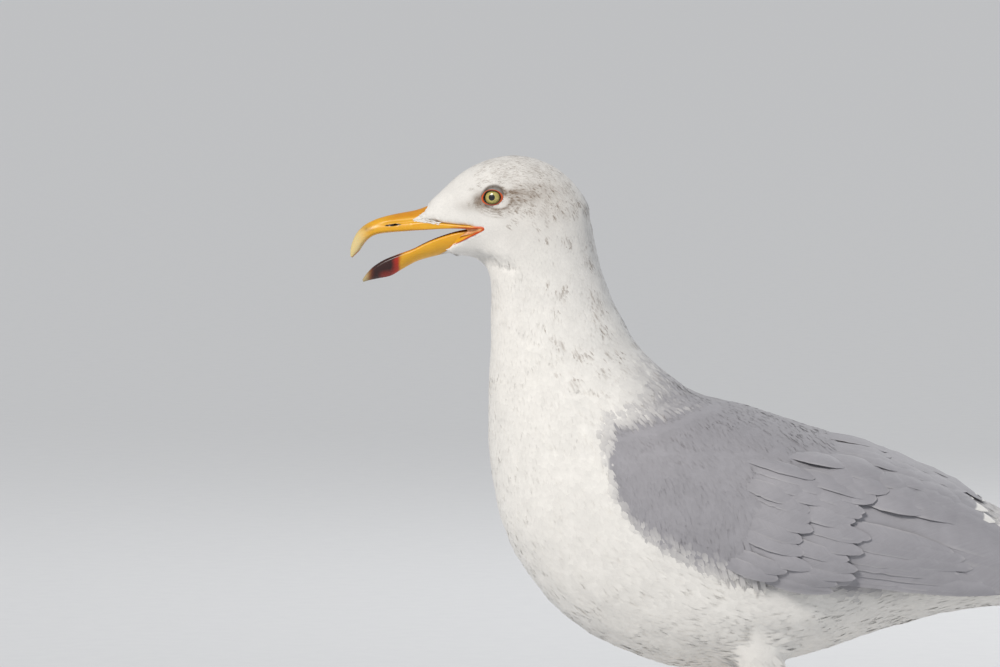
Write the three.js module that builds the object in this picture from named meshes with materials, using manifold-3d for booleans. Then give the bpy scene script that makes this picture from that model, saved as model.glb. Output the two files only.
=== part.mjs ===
// A large white-headed gull, life size, standing with its neck raised and its bill open.
// Millimetres, +Z up. The bill points to -X, the bird's left side faces -Y, and it stands on Z 0.
// The origin lies on the floor under the middle of the bird's length.
import * as THREE from "three";
import { mergeVertices } from "three/addons/utils/BufferGeometryUtils.js";
import Module from "manifold-3d";

const wasm = await Module();
wasm.setup();

// ---------------------------------------------------------------- driving sizes
const GAP = 0.3; // between pieces that touch
const BREAST_TO_MIDDLE = 202; // the tables below measure X back from the front of the breast

const EYE = { x: 3.1, y: 15.3, z: 372.2, radius: 6.3, forward: 0.24, up: 0.14 };
const LID = { halfLength: 4.75, halfHeight: 4.15, corner: 1.9, cornerAt: 205, thick: 0.72, height: 7.3 };
const GAPE = { x: -4.2, z: 353.9 };
const NOSTRIL = { x: -55.7, z: 356, length: 9, height: 1.3, tilt: 5 };

const WING_TILT = 13.7; // degrees that the folded wing falls towards its tip
const BEND = { x: 67, z: 236 }; // the wrist, at the front of the folded wing
const WING_END = 262; // from the bend to where the primaries' root block starts
const TIP_STEPS = [318, 340, 363, 386, 409, 431]; // from the bend to the tip of each primary that shows

const ANKLE = { x: 164, y: 28.5, z: 71 };
const TOE_ROOT = { x: 152, y: 30, z: 7.5 };
const TOES = [
  { name: "inner", length: 42, turn: 25, radius: 3.1 },
  { name: "middle", length: 54, turn: 1, radius: 3.4 },
  { name: "outer", length: 51, turn: -23, radius: 3.1 },
];
const CLAW = { length: 8.5, radius: 1.75 };

// ---------------------------------------------------------------- colours
const FINISH = {
  white: { color: 0xf2f0ec, roughness: 0.85 },
  grey: { color: 0x9a9ca2, roughness: 0.8 },
  black: { color: 0x17171a, roughness: 0.7 },
  billYellow: { color: 0xe9a21c, roughness: 0.35 },
  mouth: { color: 0xc9683a, roughness: 0.4 },
  eye: { color: 0xc9b75a, roughness: 0.1 },
  lid: { color: 0xd8431c, roughness: 0.5 },
  legYellow: { color: 0xe0b23c, roughness: 0.55 },
  claw: { color: 0x26221f, roughness: 0.4 },
};

// ---------------------------------------------------------------- small tools
const radians = THREE.MathUtils.degToRad;
const lerp = THREE.MathUtils.lerp;
const point = (x, y, z) => new THREE.Vector3(x, y, z);

// A smooth function through [at, value, value, ...] rows, between the first row's `at` and the last's.
function through(rows) {
  const width = rows[0].length - 1;
  const curves = [];
  for (let c = 0; c < width; c += 2) {
    const points = rows.map((r) => point(r[0], r[1 + c], r[2 + c] ?? 0));
    curves.push(new THREE.CatmullRomCurve3(points, false, "catmullrom", 0.5));
  }
  return (at) => {
    const last = rows.length - 1;
    let i = rows.findIndex((r, k) => k < last && at < rows[k + 1][0]);
    if (i < 0) i = last - 1;
    const share = THREE.MathUtils.clamp((at - rows[i][0]) / (rows[i + 1][0] - rows[i][0]), 0, 1);
    const values = curves.flatMap((curve) => {
      const p = curve.getPoint((i + share) / last);
      return [p.y, p.z];
    });
    return width === 1 ? values[0] : values.slice(0, width);
  };
}

// A manifold-3d solid from points and triangles that share them, turned to face out.
function solid(points, triangles) {
  let volume = 0;
  const [a, b, c] = [point(), point(), point()];
  for (let i = 0; i < triangles.length; i += 3) {
    a.copy(points[triangles[i]]);
    b.copy(points[triangles[i + 1]]);
    c.copy(points[triangles[i + 2]]);
    volume += a.dot(b.cross(c));
  }
  const triVerts = new Uint32Array(triangles);
  if (volume < 0) for (let i = 0; i < triVerts.length; i += 3) triVerts.subarray(i, i + 2).reverse();
  const vertProperties = new Float32Array(points.flatMap((p) => [p.x, p.y, p.z]));
  return new wasm.Manifold(new wasm.Mesh({ numProp: 3, vertProperties, triVerts }));
}

// The same from a closed three.js geometry.
function solidOf(geometry) {
  geometry.deleteAttribute("normal");
  geometry.deleteAttribute("uv");
  const merged = mergeVertices(geometry, 1e-4);
  const places = merged.getAttribute("position");
  const points = Array.from({ length: places.count }, (_, i) => point().fromBufferAttribute(places, i));
  return solid(points, [...merged.index.array]);
}

// A body through rings of points, closed at both ends, or joined into a loop. Its left and right
// halves are triangulated as mirror images, so that a mirrored neighbour fits either side.
function overRings(rings, loop = false) {
  const sides = rings[0].length;
  const points = rings.flat();
  const triangles = [];
  const spans = loop ? rings.length : rings.length - 1;
  for (let i = 0; i < spans; i++)
    for (let j = 0; j < sides; j++) {
      const next = (j + 1) % sides;
      const [a, b] = [i * sides + j, i * sides + next];
      const [c, d] = [a, b].map((k) => ((i + 1) % rings.length) * sides + (k % sides));
      if (Math.cos((2 * Math.PI * (j + 0.5)) / sides) > 0) triangles.push(a, b, d, a, d, c);
      else triangles.push(a, b, c, b, d, c);
    }
  if (!loop)
    for (const [ring, start, flip] of [[rings[0], 0, true], [rings.at(-1), spans * sides, false]]) {
      const middle = ring.reduce((sum, p) => sum.add(p), point()).divideScalar(sides);
      points.push(middle);
      for (let j = 0; j < sides; j++) {
        const edge = [start + j, start + ((j + 1) % sides)];
        triangles.push(points.length - 1, ...(flip ? edge.reverse() : edge));
      }
    }
  return solid(points, triangles);
}

// A plate between two grids of points of the same size, with the same triangles on both faces.
// A two-sided plate spans the bird's middle plane, and its halves are mirror images.
function plate(top, low, twoSided = false) {
  const [rows, columns] = [top.length, top[0].length];
  const points = [...top.flat(), ...low.flat()];
  const under = rows * columns;
  const triangles = [];
  const at = (i, j) => i * columns + j;
  for (let i = 0; i < rows - 1; i++)
    for (let j = 0; j < columns - 1; j++) {
      let [a, b, c, d] = [at(i, j), at(i + 1, j), at(i + 1, j + 1), at(i, j + 1)];
      if (twoSided && j >= (columns - 1) / 2) [a, b, c, d] = [b, c, d, a];
      triangles.push(a, b, c, a, c, d);
      triangles.push(under + a, under + c, under + b, under + a, under + d, under + c);
    }
  const rim = [];
  for (let i = 0; i < rows - 1; i++) rim.push(at(i, 0));
  for (let j = 0; j < columns - 1; j++) rim.push(at(rows - 1, j));
  for (let i = rows - 1; i > 0; i--) rim.push(at(i, columns - 1));
  for (let j = columns - 1; j > 0; j--) rim.push(at(0, j));
  rim.forEach((a, k) => {
    const b = rim[(k + 1) % rim.length];
    triangles.push(a, under + a, under + b, a, under + b, b);
  });
  return solid(points, triangles);
}

// One cross-section of the bird. A ring runs from a low point to a top point on the bird's
// middle plane, reaches `wide` to each side at the height `belt` (a share of the ring's height),
// and is an ellipse where its roundness is 2, fuller above that and sharper below.
const [TOP_X, TOP_Z, LOW_X, LOW_Z, WIDE, BELT, ROUND_TOP, ROUND_LOW] = [0, 1, 2, 3, 4, 5, 6, 7];
function ringPoint(ring, turn, grow = 0) {
  const [c, s] = [Math.cos(turn), Math.sin(turn)];
  const round = 2 / (s >= 0 ? ring[ROUND_TOP] : ring[ROUND_LOW]);
  const across = Math.sign(c) * Math.abs(c) ** round;
  const rise = Math.abs(s) ** round;
  const share = s >= 0 ? ring[BELT] + (1 - ring[BELT]) * rise : ring[BELT] * (1 - rise);
  const up = point(ring[TOP_X] - ring[LOW_X], 0, ring[TOP_Z] - ring[LOW_Z]);
  const height = up.length();
  up.normalize();
  const along = -grow + (height + 2 * grow) * share;
  return point(ring[LOW_X], across * (ring[WIDE] + grow), ring[LOW_Z]).addScaledVector(up, along);
}

// Moves an end ring away from its neighbour.
function lengthen(end, neighbour, by) {
  const middle = (ring) => point((ring[TOP_X] + ring[LOW_X]) / 2, 0, (ring[TOP_Z] + ring[LOW_Z]) / 2);
  const away = middle(end).sub(middle(neighbour)).setLength(by);
  for (const [x, z] of [[TOP_X, TOP_Z], [LOW_X, LOW_Z]]) {
    end[x] += away.x;
    end[z] += away.z;
  }
}

// A body through stations, each written as one cross-section.
function loft(stations, { perSpan = () => 2, sides = 24, grow = 0, shape = (p) => p } = {}) {
  const at = through(stations.map((s, i) => [i, ...s]));
  const rings = [];
  for (let i = 0; i < stations.length - 1; i++) {
    const steps = perSpan(i);
    for (let k = 0; k < steps; k++) rings.push(at(i + k / steps));
  }
  rings.push(at(stations.length - 1));
  lengthen(rings[0], rings[1], grow);
  lengthen(rings.at(-1), rings.at(-2), grow);
  return overRings(
    rings.map((ring) =>
      Array.from({ length: sides }, (_, j) => shape(ringPoint(ring, (2 * Math.PI * j) / sides, grow))),
    ),
  );
}

// A limb along a path of [x, y, z, half width across the bird, half depth] stations.
function limb(stations, { sides = 10, steps = 2, grow = 0 } = {}) {
  const path = new THREE.CatmullRomCurve3(stations.map((s) => point(s[0], s[1], s[2])), false, "centripetal");
  const sizes = new THREE.CatmullRomCurve3(stations.map((s) => point(s[3], s[4], 0)), false, "catmullrom", 0.3);
  const count = (stations.length - 1) * steps;
  const rings = [];
  for (let i = 0; i <= count; i++) {
    const [centre, size] = [path.getPoint(i / count), sizes.getPoint(i / count)];
    const ahead = path.getTangent(i / count);
    const across = point(0, 1, 0).addScaledVector(ahead, -ahead.y).normalize();
    const up = point().crossVectors(ahead, across).normalize();
    if (i === 0 || i === count) centre.addScaledVector(ahead, i ? grow : -grow);
    rings.push(
      Array.from({ length: sides }, (_, j) => {
        const turn = (2 * Math.PI * j) / sides;
        return centre
          .clone()
          .addScaledVector(across, Math.cos(turn) * (size.x + grow))
          .addScaledVector(up, Math.sin(turn) * (size.y + grow));
      }),
    );
  }
  return overRings(rings);
}

const mirrored = (body) => body.scale([1, -1, 1]);
const fuse = (pieces) => pieces.reduce((whole, piece) => whole.add(piece));
const cutBy = (body, ...tools) => tools.reduce((rest, tool) => rest.subtract(tool), body);
const biggest = (body) =>
  body.decompose().reduce((best, piece) => (piece.volume() > best.volume() ? piece : best));

// Keeps what lies above the plane through two points of the bird's middle plane.
function above(body, from, to, shift = 0) {
  const normal = point(from.z - to.z, 0, to.x - from.x).normalize();
  return body.trimByPlane(normal.toArray(), normal.x * from.x + normal.z * from.z + shift);
}
const below = (body, from, to, shift = 0) => above(body, to, from, shift);

// ---------------------------------------------------------------- flesh: head, neck, torso, tail root
// topX, topZ, lowX, lowZ, half width, belt, roundness above and below it
const FLESH = [
  [-45.0, 360.8, -45.0, 354.0, 6.0, 0.45, 2.0, 2.4], // feathers at the side of the bill
  [-40.5, 364.0, -40.5, 349.0, 8.4, 0.45, 2.0, 2.6],
  [-36.3, 367.2, -35.5, 344.5, 9.9, 0.45, 2.0, 2.8], // where the forehead meets the bill
  [-28.5, 374.9, -28.5, 340.6, 12.2, 0.46, 2.0, 3.0],
  [-16.9, 385.4, -20.5, 338.6, 15.6, 0.48, 2.0, 3.0],
  [-5.2, 391.9, -13.0, 338.2, 18.6, 0.5, 2.0, 2.9],
  [6.4, 395.4, -7.0, 336.6, 21.0, 0.52, 2.0, 2.7],
  [18.5, 396.0, -2.6, 333.4, 23.0, 0.52, 2.0, 2.5], // crown
  [32.5, 392.4, -0.4, 329.0, 24.6, 0.52, 2.0, 2.3],
  [45.5, 384.0, 0.8, 323.5, 25.6, 0.52, 2.0, 2.2],
  [55.5, 371.0, 1.2, 316.5, 26.0, 0.52, 2.0, 2.1], // nape
  [60.0, 353.5, 1.0, 308.5, 26.4, 0.5, 2.0, 2.0],
  [63.8, 336.0, 0.4, 299.5, 27.4, 0.5, 2.0, 2.0],
  [70.5, 315.0, -0.3, 288.0, 30.0, 0.5, 2.0, 2.0],
  [83.0, 291.2, -0.6, 271.5, 35.5, 0.5, 2.0, 2.0], // neck
  [101.0, 273.0, -0.4, 250.0, 44.5, 0.5, 2.0, 2.0],
  [126.0, 254.5, 0.2, 221.0, 53.0, 0.52, 2.2, 2.1], // front of the back, breast
  [146.0, 246.0, 4.5, 189.0, 59.5, 0.54, 2.4, 2.2],
  [164.0, 240.5, 18.0, 158.0, 63.5, 0.56, 2.5, 2.2],
  [181.0, 236.0, 40.0, 131.0, 65.0, 0.57, 2.5, 2.2],
  [198.0, 229.0, 69.0, 111.0, 64.5, 0.57, 2.5, 2.2],
  [214.0, 221.5, 102.0, 99.0, 62.5, 0.57, 2.4, 2.2], // belly
  [228.0, 214.0, 135.0, 96.5, 59.0, 0.55, 2.3, 2.2],
  [241.0, 206.0, 166.0, 100.5, 53.0, 0.53, 2.2, 2.1],
  [253.0, 200.0, 194.0, 108.0, 47.5, 0.52, 2.1, 2.1],
  [266.5, 192.5, 222.0, 118.0, 41.5, 0.51, 2.0, 2.0],
  [282.0, 184.0, 250.0, 126.0, 36.0, 0.5, 2.0, 2.0], // vent
  [300.0, 174.5, 277.0, 131.5, 32.0, 0.5, 2.0, 2.0],
  [320.0, 165.0, 305.0, 134.5, 29.0, 0.5, 2.1, 2.1],
  [341.0, 156.0, 334.0, 137.0, 27.0, 0.5, 2.3, 2.3],
  [360.0, 148.5, 357.0, 139.5, 25.5, 0.5, 2.6, 2.6], // end of the tail coverts
];
const HEAD_CUT = [{ x: 0, z: 328 }, { x: 62, z: 344 }];
const NECK_CUT = [{ x: 0, z: 231 }, { x: 108, z: 269 }];
const TAIL_CUT = [{ x: 250, z: 126 }, { x: 282, z: 184 }];

// Hollows and swellings of the head: centre on one side, reach and height, mirrored on the other.
const HEAD_FORMS = [
  { x: 2.9, y: 21, z: 372.2, reach: 8.5, out: -1.3 }, // eye socket
  { x: -12, y: 17, z: 367, reach: 9, out: -0.9 }, // lores
  { x: 1, y: 17, z: 382.2, reach: 8, out: 0.8 }, // brow
  { x: 20, y: 24, z: 358, reach: 13, out: 1.2 }, // ear coverts
];
function headForms(p) {
  if (p.z < 325) return p;
  const side = Math.sign(p.y);
  for (const form of HEAD_FORMS) {
    const off = Math.hypot(p.x - form.x, Math.abs(p.y) - form.y, p.z - form.z);
    p.y += side * form.out * Math.exp(-((off / form.reach) ** 2) * 1.4);
  }
  return p;
}
const fleshDetail = (i) => ((i > 2 && i < 12) || (i > 14 && i < 20) ? 2 : 1);
const flesh = (grow = 0) => loft(FLESH, { sides: 24, perSpan: fleshDetail, grow, shape: headForms });

// ---------------------------------------------------------------- bill and mouth
const UPPER_BILL = [
  [-25.0, 371.5, -25.0, 354.6, 8.2, 0.15, 1.7, 3],
  [-36.3, 366.6, -36.0, 353.2, 8.9, 0.15, 1.7, 3],
  [-43.2, 364.3, -44.0, 352.5, 8.2, 0.16, 1.75, 3],
  [-50.8, 362.9, -52.0, 351.9, 7.4, 0.18, 1.8, 3],
  [-58.5, 361.3, -60.0, 351.2, 6.7, 0.22, 1.9, 2.8],
  [-66.2, 358.9, -66.0, 350.0, 6.0, 0.28, 2, 2.5],
  [-72.7, 355.4, -70.0, 347.6, 5.0, 0.33, 2, 2.2],
  [-76.9, 351.1, -72.8, 344.3, 3.9, 0.38, 2, 2],
  [-79.3, 346.2, -75.0, 341.0, 2.8, 0.42, 2, 2],
  [-80.5, 341.6, -77.2, 338.8, 1.7, 0.45, 2, 2],
  [-80.6, 337.6, -79.4, 336.6, 0.7, 0.5, 2, 2],
];
const PALATE = [
  [-3.6, 355.1, -3.6, 353.6, 18.0, 0.5, 8, 8],
  [-8.0, 355.7, -8.0, 353.8, 19.2, 0.5, 8, 8],
  [-14.0, 356.2, -14.0, 354.0, 17.5, 0.5, 8, 8],
  [-20.0, 356.7, -20.0, 354.1, 15.6, 0.5, 8, 8],
  [-28.0, 357.4, -28.0, 353.8, 12.9, 0.5, 8, 8],
  [-36.0, 358.2, -36.0, 353.2, 10.2, 0.5, 8, 8],
  [-42.5, 358.0, -42.5, 352.8, 8.5, 0.5, 6, 6],
  [-50.0, 357.0, -50.0, 352.6, 6.6, 0.5, 4, 4],
];
const LOWER_BILL = [
  [-4.6, 353.1, -4.6, 347.6, 15.6, 0.9, 3, 2.6],
  [-12.0, 353.3, -11.0, 343.2, 14.2, 0.9, 3, 2.4],
  [-20.5, 351.7, -18.0, 340.7, 12.3, 0.88, 3, 2.2],
  [-29.4, 348.9, -25.5, 339.0, 10.2, 0.86, 3, 2.0],
  [-37.0, 345.7, -33.5, 337.2, 8.6, 0.84, 3, 1.9],
  [-44.5, 341.9, -41.8, 334.7, 7.4, 0.82, 3, 1.8],
  [-53.0, 338.9, -50.0, 330.3, 6.4, 0.8, 3, 1.6],
  [-60.5, 335.9, -57.0, 326.2, 5.4, 0.78, 3, 1.5],
  [-67.0, 331.7, -64.5, 324.6, 3.9, 0.76, 2.4, 1.6],
  [-71.3, 327.3, -69.8, 323.5, 2.2, 0.7, 2.2, 1.8],
  [-73.6, 323.9, -73.2, 322.5, 0.8, 0.5, 2, 2],
];
const RAMUS_WALL = 1.9;
const BILL_FLOOR = 3.4;

// The trough between the two halves of the lower bill, from the gape to behind the gonys.
function troughStations() {
  const hollow = LOWER_BILL.slice(0, 9).map((s) => [...s]);
  hollow.forEach((s, i) => {
    s[TOP_Z] += 4;
    s[LOW_Z] += BILL_FLOOR;
    s[WIDE] = Math.max(s[WIDE] - RAMUS_WALL, 0.8) * (i === 8 ? 0.5 : 1);
    s[BELT] = 0.6;
    s[ROUND_LOW] = 2.4;
  });
  hollow[0][TOP_X] += 4;
  hollow[0][LOW_X] += 4;
  return hollow;
}

function upperBill(grow = 0) {
  const horn = loft(UPPER_BILL, { sides: 16, perSpan: (i) => (i < 5 ? 1 : 2), grow });
  return horn.add(loft(PALATE, { sides: 12, perSpan: () => 1, grow }));
}
function nostril() {
  const slit = new THREE.CapsuleGeometry(NOSTRIL.height / 2, NOSTRIL.length - NOSTRIL.height, 2, 8);
  slit.rotateZ(Math.PI / 2);
  slit.scale(1, 16, 1);
  slit.rotateY(radians(-NOSTRIL.tilt));
  slit.translate(NOSTRIL.x, 0, NOSTRIL.z);
  return solidOf(slit);
}
const lowerBillOuter = (grow = 0) => loft(LOWER_BILL, { sides: 16, perSpan: () => 1, grow });
const lowerBill = () => lowerBillOuter().subtract(loft(troughStations(), { sides: 12, perSpan: () => 1 }));

// What the head gives up for the open mouth: a wedge that starts at the gape.
function mouthWedge() {
  const outline = new THREE.Shape([
    new THREE.Vector2(GAPE.x, GAPE.z),
    new THREE.Vector2(-60, 355.2),
    new THREE.Vector2(-60, 324.5),
  ]);
  const wedge = new THREE.ExtrudeGeometry(outline, { depth: 60, bevelEnabled: false });
  wedge.rotateX(Math.PI / 2);
  wedge.translate(0, 30, 0);
  return solidOf(wedge);
}

const TONGUE = [
  [-9, 349.2, 5.4, 1.3],
  [-20, 346.2, 5.0, 1.4],
  [-32, 343.0, 4.2, 1.4],
  [-43, 339.8, 3.4, 1.2],
  [-52, 336.3, 2.4, 1.0],
  [-58, 333.3, 1.0, 0.6],
];
const tongue = (grow = 0) => limb(TONGUE.map(([x, z, wide, high]) => [x, 0, z, wide, high]), { sides: 8, steps: 1, grow });

// ---------------------------------------------------------------- eyes
const eyeAxis = point(-EYE.forward, -1, EYE.up).normalize(); // of the left eye
function eyeball(grow = 0) {
  const ball = new THREE.IcosahedronGeometry(EYE.radius + grow, 2);
  ball.translate(EYE.x, -EYE.y, EYE.z);
  return solidOf(ball);
}
// The bare ring of skin round the eye: an oval on the ball, drawn out to a corner in front.
function eyelid(grow = 0) {
  const ahead = point(-1, 0, 0).addScaledVector(eyeAxis, eyeAxis.x).normalize();
  const up = point().crossVectors(ahead, eyeAxis).multiplyScalar(-1).normalize();
  if (up.z < 0) up.negate();
  const rings = [];
  const count = 16;
  for (let i = 0; i < count; i++) {
    const turn = (2 * Math.PI * i) / count;
    const towardsCorner = Math.cos(turn - radians(LID.cornerAt - 180) * -1);
    const corner = LID.corner * Math.max(0, towardsCorner) ** 6;
    const reach = Math.hypot(LID.halfLength * Math.cos(turn), LID.halfHeight * Math.sin(turn)) + corner;
    const lean = Math.asin(Math.min(reach, LID.halfLength) / LID.height);
    const away = ahead.clone().multiplyScalar(Math.cos(turn)).addScaledVector(up, Math.sin(turn));
    const out = eyeAxis.clone().multiplyScalar(Math.cos(lean)).addScaledVector(away, Math.sin(lean));
    const slide = away.clone().multiplyScalar(Math.cos(lean)).addScaledVector(eyeAxis, -Math.sin(lean));
    const centre = point(EYE.x, -EYE.y, EYE.z)
      .addScaledVector(out, LID.height)
      .addScaledVector(away, Math.max(0, reach - LID.halfLength))
      .addScaledVector(eyeAxis, -0.3 * Math.max(0, reach - LID.halfLength));
    rings.push(
      Array.from({ length: 5 }, (_, j) => {
        const t = (2 * Math.PI * j) / 5;
        const width = LID.thick * (1 + 1.2 * Math.max(0, towardsCorner) ** 4) + grow;
        return centre
          .clone()
          .addScaledVector(slide, width * Math.cos(t))
          .addScaledVector(out, (LID.thick * 0.8 + grow) * Math.sin(t));
      }),
    );
  }
  return overRings(rings, true);
}

// ---------------------------------------------------------------- the folded wings' outer form
// Distances run along the folded wing from its bend, heights stand square to that.
// along, top, belt, low, half width, roundness above and below the belt
const WING_FORM = through([
  [-14, 28, -4, -72, 56.5, 2.0, 2.0],
  [20, 42, -8, -102, 67.5, 2.0, 2.2],
  [60, 38.5, -12, -116, 73, 2.1, 2.2],
  [100, 35, -16, -118, 75, 2.2, 2.2],
  [140, 31.5, -18, -110, 73, 2.2, 2.2],
  [180, 26, -19, -95, 67, 2.1, 2.1],
  [220, 17.5, -20, -78, 57, 1.95, 2.0],
  [260, 7, -20, -60, 46, 1.8, 2.0],
  [300, 1, -19, -46, 36, 1.7, 2.0],
  [340, -2, -16, -38, 27, 1.6, 2.0],
]);
const [wingCos, wingSin] = [Math.cos(radians(WING_TILT)), Math.sin(radians(WING_TILT))];
const alongWing = (s, t) => [BEND.x + s * wingCos + t * wingSin, BEND.z - s * wingSin + t * wingCos];

// A point of the wings' outer form. Round is 0 at its widest line and 90 on the bird's back.
function formPoint(s, round) {
  const [top, belt, low, wide, roundTop, roundLow] = WING_FORM(s);
  const ring = [...alongWing(s, top), ...alongWing(s, low), wide, (belt - low) / (top - low), roundTop, roundLow];
  const p = ringPoint(ring, radians(round));
  p.y = -p.y;
  return p;
}
function onForm(s, round, out) {
  const p = formPoint(s, round);
  const alongS = formPoint(s + 1, round).sub(formPoint(s - 1, round));
  const alongRound = formPoint(s, round + 1).sub(formPoint(s, round - 1));
  const normal = point().crossVectors(alongS, alongRound).normalize();
  if (normal.y * p.y < 0 || (Math.abs(p.y) < 1 && normal.z < 0)) normal.negate();
  return p.addScaledVector(normal, out);
}
const mmPerDegree = (s, round) => formPoint(s, round + 1).distanceTo(formPoint(s, round - 1)) / 2;

const wingLowEdge = through([
  [-4, 12], [6, -6], [22, -18], [50, -22.5], [100, -24], [150, -23], [200, -20], [240, -14], [270, -6], [300, -2],
]);
const mantleEdge = through([[-20, 42], [15, 49], [40, 55], [80, 65], [120, 76], [150, 84], [168, 88.6], [340, 88.6]]);
const MANTLE_END = 166;
const frontEdge = through([[-30, 18], [-18, 8], [0, 1], [20, 0], [40, 7], [65, 22], [90, 36]]);
const wingDepth = through([[-10, 9], [20, 16], [60, 26], [130, 26], [180, 17], [220, 12], [262, 9], [300, 8]]);

const degrees = (mm, s, round) => mm / mmPerDegree(s, round);

// The grey back between the two wings: it narrows to a point behind the shoulders.
function mantleCore(widen = 0, outTop = -0.6, outLow = -10) {
  const [top, low] = [[], []];
  const rows = 6;
  const columns = 8;
  for (let i = 0; i <= rows; i++) {
    top.push([]);
    low.push([]);
    for (let j = 0; j <= columns; j++) {
      const share = 2 * (j / columns) - 1;
      const s = lerp(frontEdge(90 - Math.abs(share) * 36) - widen * 6, MANTLE_END + widen, i / rows);
      const half = 90 - mantleEdge(s) + degrees(widen, s, mantleEdge(s));
      const round = 90 + share * half;
      top[i].push(onForm(s, round, i === 0 ? outTop - 1.4 : outTop));
      low[i].push(onForm(s, round, outLow));
    }
  }
  return plate(top, low, true);
}

// The wing's own mass, from its bend back to where the primaries start.
function wingCore() {
  const [rows, columns] = [9, 6];
  const [top, low] = [[], []];
  for (let i = 0; i <= rows; i++) {
    top.push([]);
    low.push([]);
    for (let j = 0; j <= columns; j++) {
      const share = j / columns;
      const front = frontEdge(lerp(-18, 52, share));
      const end = WING_END - GAP - 34 * Math.max(0, share - 0.5) ** 1.5;
      const s = lerp(front, end, (i / rows) ** 0.9);
      const inner = Math.min(88.6, mantleEdge(s) + 2);
      const round = lerp(wingLowEdge(s), inner, share);
      const rim = Math.min(1, Math.min(i, 2) / 2) * 0.6 + 0.4;
      const edge = j === 0 ? 0.35 : 1;
      top[i].push(onForm(s, round, -0.6 - 2.4 * (1 - rim) - (j === 0 ? 1.2 : 0)));
      low[i].push(onForm(s, round, -Math.max(3.2, wingDepth(s) * edge * rim * (share > 0.6 && s > 200 ? 0.6 : 1))));
    }
  }
  return plate(top, low);
}

// ---------------------------------------------------------------- feathers on the wings and the mantle
const VANE_THICK = 0.85;
const VANE_ROWS = [0, 0.74, 1];
const VANE_WIDTHS = [0.85, 1, 0.36];
const LONG_ROWS = [0, 0.55, 0.88, 1];
const LONG_WIDTHS = [0.8, 1, 0.78, 0.25];

// A feather that starts at (s, round) on the form, runs back for `length`, falls by `fall` degrees
// and rises from under the surface to its tip. A free one is thin where it leaves its bed.
function formVane({ s, round, length, half, fall = 0, tip = 1.1, roll = 0.35, free = false }) {
  const [rows, widths] = free ? [LONG_ROWS, LONG_WIDTHS] : [VANE_ROWS, VANE_WIDTHS];
  const [top, low] = [[], []];
  rows.forEach((a, i) => {
    const along = a * length;
    const at = s + along * Math.cos(radians(fall));
    const middle = round - degrees(along * Math.sin(radians(fall)), at, round);
    const rise = lerp(-1.9, tip, free ? Math.min(1, a / 0.6) : a ** 0.8);
    const under = free ? Math.min(rise - VANE_THICK, lerp(-2.7, tip - VANE_THICK, a / 0.6)) : -2.7;
    top.push([]);
    low.push([]);
    for (const side of [-1, 0, 1]) {
      const turn = middle + side * degrees(widths[i] * half, at, middle);
      const shed = (side ? -0.4 : 0) - side * roll;
      top[i].push(onForm(at, turn, rise + shed));
      low[i].push(onForm(at, turn, under + (free ? shed : 0)));
    }
  });
  return plate(top, low);
}

// Rows of feathers across the left wing: s from the bend, then from the lowest `round` to the highest.
const WING_ROWS = [
  { s: 26, from: -13, to: 18, count: 3, length: 42, half: 9.5, tip: 0.8 }, // lesser coverts
  { s: 56, from: -16, to: 16, count: 4, length: 44, half: 8, fall: 3, tip: 0.9 }, // median coverts
  { s: 88, from: -18, to: 12, count: 5, length: 56, half: 6, fall: 3, tip: 1 }, // greater coverts
  { s: 140, from: -16, to: -4, count: 3, length: 96, half: 5, lag: 12, fall: -1, tip: 0.7, free: true }, // secondaries
  { s: 182, from: 8, to: 58, count: 4, length: 104, half: 9, lag: 17, tip: 1.2, free: true }, // tertials
  { s: 14, from: 32, to: 52, count: 2, length: 60, half: 11, tip: 1.3 }, // scapulars
  { s: 50, from: 33, to: 60, count: 3, length: 62, half: 10.5, tip: 1.4 },
  { s: 90, from: 36, to: 68, count: 3, length: 64, half: 11, tip: 1.5 },
  { s: 130, from: 42, to: 78, count: 3, length: 66, half: 11, tip: 1.6 },
];
const spread = (from, to, count) =>
  Array.from({ length: count }, (_, i) => (count === 1 ? (from + to) / 2 : lerp(from, to, i / (count - 1))));
function wingFeathers() {
  return WING_ROWS.flatMap(({ from, to, count, s, length, lag = 0, ...rest }, r) =>
    spread(from, to, count).map((round, k) => {
      const wander = 3 * Math.sin(7.1 * r + 3.3 * k);
      return formVane({ s: s + wander - lag * k, round, length, ...rest });
    }),
  );
}

const MANTLE_ROWS = [
  { s: 36, half: 11, length: 46, out: [-20, 0, 20] },
  { s: 68, half: 11, length: 48, out: [-10, 10] },
  { s: 102, half: 12, length: 46, out: [0] },
];
function mantleFeathers() {
  return MANTLE_ROWS.flatMap(({ s, half, length, out }) =>
    out.map((mm) => formVane({ s, round: 90 + degrees(mm, s, 90), length, half, roll: 0, tip: 1.1 })),
  );
}

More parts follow.
